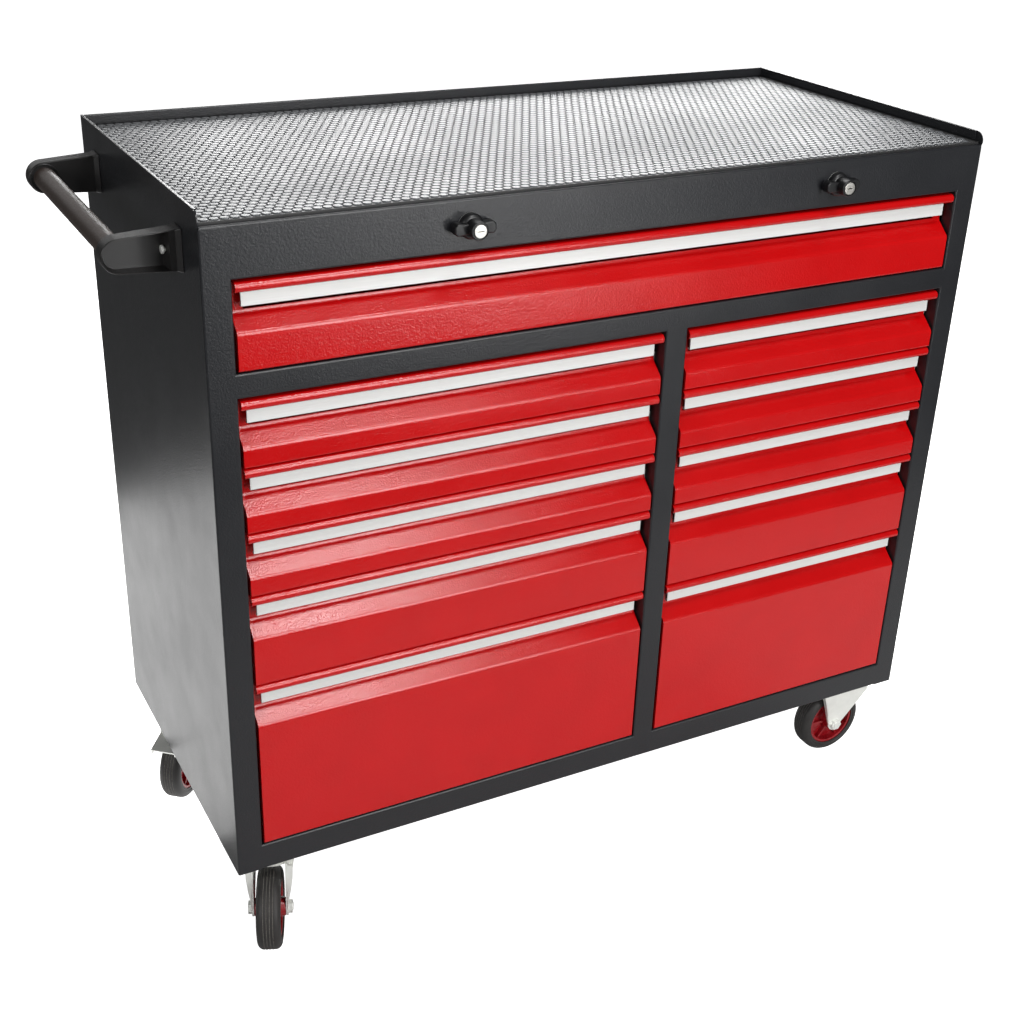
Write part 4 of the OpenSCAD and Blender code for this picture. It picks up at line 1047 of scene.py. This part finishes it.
class TOOLCABINET_OT_wheels(bpy.types.Operator):
    """Turns the four wheels"""

    bl_idname = "tool_cabinet.wheels"
    bl_label = "Wheels"

    def execute(self, context):
        sizes = context.scene.cabinet_casters
        for node in (n for n in frame["nodes"] if n.startswith("wheel_")):
            axle, centre = Vector(JOINTS[node]["axis"]), Vector(JOINTS[node]["pos_m"])
            place = Matrix.Translation(centre) @ BACKWARDS.rotation_difference(axle).to_matrix().to_4x4()
            piece(node + "_tyre", moved(tyre(sizes, centre.z), place), "Tyre rubber", node,
                  [node])
            # The pale rings in the grooves are dust and painted highlight
            piece(node + "_groove_dust_and_highlight", moved(groove_dust_and_highlight(sizes, centre.z), place), "Workshop dust and painted highlight", node,
                  [node])
            piece(node + "_rim", moved(rim(sizes, centre.z), place), "Moulded polypropylene", node,
                  replaces=[node])
        return {"FINISHED"}


def leg_flange(sizes, top, foot, side):
    """Flange pressed out of an edge of a leg, from its top to the axle's end, each as (trail, height)."""
    face = side * (sizes.fork_out - 0.3 * MM)
    start, end = Vector((top[0], face, top[1])), Vector((foot[0], face, foot[1]))
    outwards = Vector((0, side * sizes.flange_w, 0))
    crest = [start.lerp(end, along) + width * outwards
             for along, width in ((0, 1), (0.3, 0.9), (0.55, 0.62), (0.78, 0.24), (1, 0.04))]
    bm = plate([start] + crest + [end], (-math.copysign(sizes.flange_t, top[0]), 0, 0))
    return rounded(bm, sharp_edges(bm, 35), sizes.steel_edge_r, 2)


def fork_flanges(sizes, kingpin, wheel, top_z, half, edges):
    """Flanges of a fork's two legs, along its trailing edge (1) or its other edge (-1), below its skirt."""
    centre = Vector(JOINTS[wheel]["pos_m"])
    trail = Vector((centre.x - kingpin[0], centre.y - kingpin[1], 0))
    forwards = trail.normalized()
    turn = Matrix((forwards, UPWARDS.cross(forwards), UPWARDS)).transposed().to_4x4()
    place = Matrix.Translation((kingpin[0], kingpin[1], 0)) @ turn
    made = []
    for edge, skirt in edges:
        top = (edge * half, top_z - skirt)
        foot = (trail.length + edge * sizes.axle_end_r, centre.z + sizes.axle_end_r / 3)
        made += [moved(leg_flange(sizes, top, foot, side), place) for side in (-1, 1)]
    return made


def flanges_of(sizes, node):
    """Flanges of the forks in a node; the edge that carries the brake's pedal has none."""
    low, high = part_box(node)
    if node == "fixed_caster_forks":
        edges, middle_x = ((1, 0),), (low.x + high.x) / 2
        wheels = ("wheel_front_right", "wheel_rear_right")
        return [flange for wheel in wheels
                for flange in fork_flanges(sizes, (middle_x, JOINTS[wheel]["pos_m"][1]), wheel,
                                           high.z - sizes.fixed_drop, sizes.fixed_leg_half, edges)]
    if node.startswith("swivel_fork_"):
        wheel, plain = node.replace("swivel_fork", "wheel"), (-1, sizes.leg_skirt)
        edges = (plain,) if wheel == "wheel_rear_left" else ((1, 0), plain)
        return fork_flanges(sizes, JOINTS[node]["pos_m"], wheel, high.z - sizes.crown_drop, sizes.leg_half,
                            edges)
    return []


class TOOLCABINET_OT_casters(bpy.types.Operator):
    """Rounds the pressed steel of the casters"""

    bl_idname = "tool_cabinet.casters"
    bl_label = "Caster forks"

    def execute(self, context):
        sizes = context.scene.cabinet_casters
        for node, body, slot in (
            ("caster_top_plates", "cabinet", "caster_zinc"),
            ("fixed_caster_forks", "cabinet", "caster_zinc"),
            ("caster_bolts", "cabinet", "fastener_steel"),
            ("swivel_fork_front_left", "swivel_fork_front_left", "caster_zinc"),
            ("swivel_fork_rear_left", "swivel_fork_rear_left", "caster_zinc"),
            ("brake_pedal", "brake_pedal", "caster_zinc"),
        ):
            bm = joined(edge_rounded_copy(node, sizes.steel_edge_r), *flanges_of(sizes, node))
            piece(node + "_pressed", bm, "Bright zinc plate", body, [node])
        return {"FINISHED"}


# Stage

# Each soft box: its place, the point that it looks at, its size in metres and its radiance
SOFTBOXES = {
    "Overhead softbox": ((0.5, -1.5, 3.0), (0, -0.1, 0.5), (0.6, 0.6), 22),
    "Front softbox": ((-0.8, -3.5, 0.9), (0, 0, 0.5), (2.0, 1.2), 0.8),
    "Left softbox": ((-2.7, -1.6, 1.5), (-0.4, 0, 0.5), (1.2, 1.0), 8),
    "Strip softbox": ((0.75, -3.0, 1.65), (0, 0, 0.6), (0.9, 1.9), 11),
    "Rear softbox": ((1.55, 2.8, 1.76), (0.1, 0, 0.9), (2.45, 0.85), 13),
    "Front card": ((1.1, -2.9, 0.02), (1.1, -2.9, 1.0), (1.4, 0.9), 2.8),
    "Fascia softbox": ((1.25, -3.0, 0.25), (-0.1, -0.2, 0.87), (0.35, 0.5), 14),
    "Rear left card": ((-0.75, 3.0, 1.6), (-0.6, 0, 0.8), (1.3, 1.2), 0.9),
    "Rear top softbox": ((0.8, 1.6, 3.0), (0.1, 0, 0.9), (2.0, 1.0), 6),
}


def area_light(name, place, aim, size, radiance):
    """A soft box that looks from its place to a point."""
    light = bpy.data.lights.new(name, "AREA")
    light.shape = "RECTANGLE"
    light.size, light.size_y = size
    light.energy = radiance * math.pi * size[0] * size[1]
    lamp = bpy.data.objects.new(name, light)
    lamp.location = place
    lamp.rotation_euler = (Vector(aim) - Vector(place)).to_track_quat("-Z", "Y").to_euler()
    bpy.context.scene.collection.objects.link(lamp)


def stage_sheet(name, low, high, finish_name):
    """A level stage piece on the ground, between two corners."""
    bm = bmesh.new()
    bmesh.ops.create_grid(bm, x_segments=1, y_segments=1, size=0.5)
    low, high = Vector((*low, 0)), Vector((*high, 0))
    bmesh.ops.scale(bm, verts=bm.verts[:], vec=high - low)
    bmesh.ops.translate(bm, verts=bm.verts[:], vec=(low + high) / 2)
    mesh = bpy.data.meshes.new(name)
    bm.to_mesh(mesh)
    bm.free()
    mesh.materials.append(finish(finish_name))
    made = bpy.data.objects.new(name, mesh)
    bpy.context.scene.collection.objects.link(made)
    return made


class TOOLCABINET_OT_stage(bpy.types.Operator):
    """Sets the floor, the light and the camera"""

    bl_idname = "tool_cabinet.stage"
    bl_label = "Stage"

    def execute(self, context):
        scene, settings = context.scene, context.scene.cabinet_stage
        half, reach = settings.floor_w / 2, settings.paper_w
        floor = stage_sheet("studio_floor", (-half, -half), (half, half), "Studio floor")
        # The wide floor is only what the eye sees; the paper lights the cabinet and shows in its coats
        floor.visible_diffuse = floor.visible_glossy = floor.visible_shadow = False
        left, right, middle_y = LEFT_X - reach, RIGHT_X + reach, (FRONT_Y + BACK_Y) / 2
        for name, low, high, finish_name in (
            ("front_paper", (left, FRONT_Y - reach), (right, middle_y), "Grey paper"),
            ("rear_paper", (left, middle_y), (right, BACK_Y + reach), "White paper"),
        ):
            paper = stage_sheet(name, low, high, finish_name)
            paper.visible_camera = paper.visible_shadow = False
        world = bpy.data.worlds.new("Dim studio")
        world.use_nodes = True
        sky = world.node_tree.nodes["Background"]
        sky.inputs["Color"].default_value = (1, 1, 1, 1)
        sky.inputs["Strength"].default_value = settings.sky
        scene.world = world
        for name, (place, aim, size, radiance) in SOFTBOXES.items():
            area_light(name, place, aim, size, radiance)
        scene.view_settings.view_transform = "Standard"
        self.aim_camera(scene, settings)
        return {"FINISHED"}

    def aim_camera(self, scene, settings):
        """Stands the camera where the photograph was taken from."""
        camera = bpy.data.cameras.new("Camera")
        camera.sensor_width = 36.0
        camera.lens = settings.lens
        camera.clip_end = 100.0
        az, el = settings.azimuth, settings.elevation
        back_axis = Vector((math.sin(az) * math.cos(el), -math.cos(az) * math.cos(el), math.sin(el)))
        right = (-back_axis).cross(UPWARDS).normalized()
        turn = Matrix((right, back_axis.cross(right), back_axis)).transposed().to_4x4()
        stand = bpy.data.objects.new("Camera", camera)
        stand.matrix_world = (Matrix.Translation(settings.place) @ turn
                              @ Matrix.Rotation(settings.roll, 4, "Z"))
        scene.collection.objects.link(stand)
        scene.camera = stand


class TOOLCABINET_PT_panel(bpy.types.Panel):
    """Lists the cabinet's pieces"""

    bl_label = "Tool cabinet"
    bl_idname = "TOOLCABINET_PT_panel"
    bl_space_type = "VIEW_3D"
    bl_region_type = "UI"
    bl_category = "Tool cabinet"

    def draw(self, context):
        for operator in OPERATORS:
            self.layout.operator(operator.bl_idname)
        for name in SETTINGS:
            box = self.layout.box()
            group = getattr(context.scene, name)
            for key in group.__annotations__:
                box.prop(group, key)


OPERATORS = (
    TOOLCABINET_OT_carcass, TOOLCABINET_OT_mat, TOOLCABINET_OT_drawers, TOOLCABINET_OT_pulls,
    TOOLCABINET_OT_slides, TOOLCABINET_OT_handle, TOOLCABINET_OT_locks, TOOLCABINET_OT_wheels,
    TOOLCABINET_OT_casters, TOOLCABINET_OT_stage,
)
SETTINGS = {
    "cabinet_carcass": CarcassSizes, "cabinet_mat": MatSizes, "cabinet_drawers": DrawerSizes,
    "cabinet_pulls": PullSizes, "cabinet_handle": HandleSizes, "cabinet_locks": LockSizes,
    "cabinet_casters": CasterSizes, "cabinet_finishes": Finishes, "cabinet_stage": StageSettings,
}


def register():
    for group in SETTINGS.values():
        bpy.utils.register_class(group)
    for name, group in SETTINGS.items():
        setattr(bpy.types.Scene, name, PointerProperty(type=group))
    for operator in OPERATORS:
        bpy.utils.register_class(operator)
    bpy.utils.register_class(TOOLCABINET_PT_panel)


def unregister():
    bpy.utils.unregister_class(TOOLCABINET_PT_panel)
    for operator in reversed(OPERATORS):
        bpy.utils.unregister_class(operator)
    for name, group in SETTINGS.items():
        delattr(bpy.types.Scene, name)
        bpy.utils.unregister_class(group)


def main():
    """Builds the cabinet's looks on its stage."""
    register()
    bpy.ops.tool_cabinet.carcass()
    bpy.ops.tool_cabinet.mat()
    bpy.ops.tool_cabinet.drawers()
    bpy.ops.tool_cabinet.pulls()
    bpy.ops.tool_cabinet.slides()
    bpy.ops.tool_cabinet.handle()
    bpy.ops.tool_cabinet.locks()
    bpy.ops.tool_cabinet.wheels()
    bpy.ops.tool_cabinet.casters()
    bpy.ops.tool_cabinet.stage()
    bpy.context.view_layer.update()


if __name__ == "__main__":
    main()
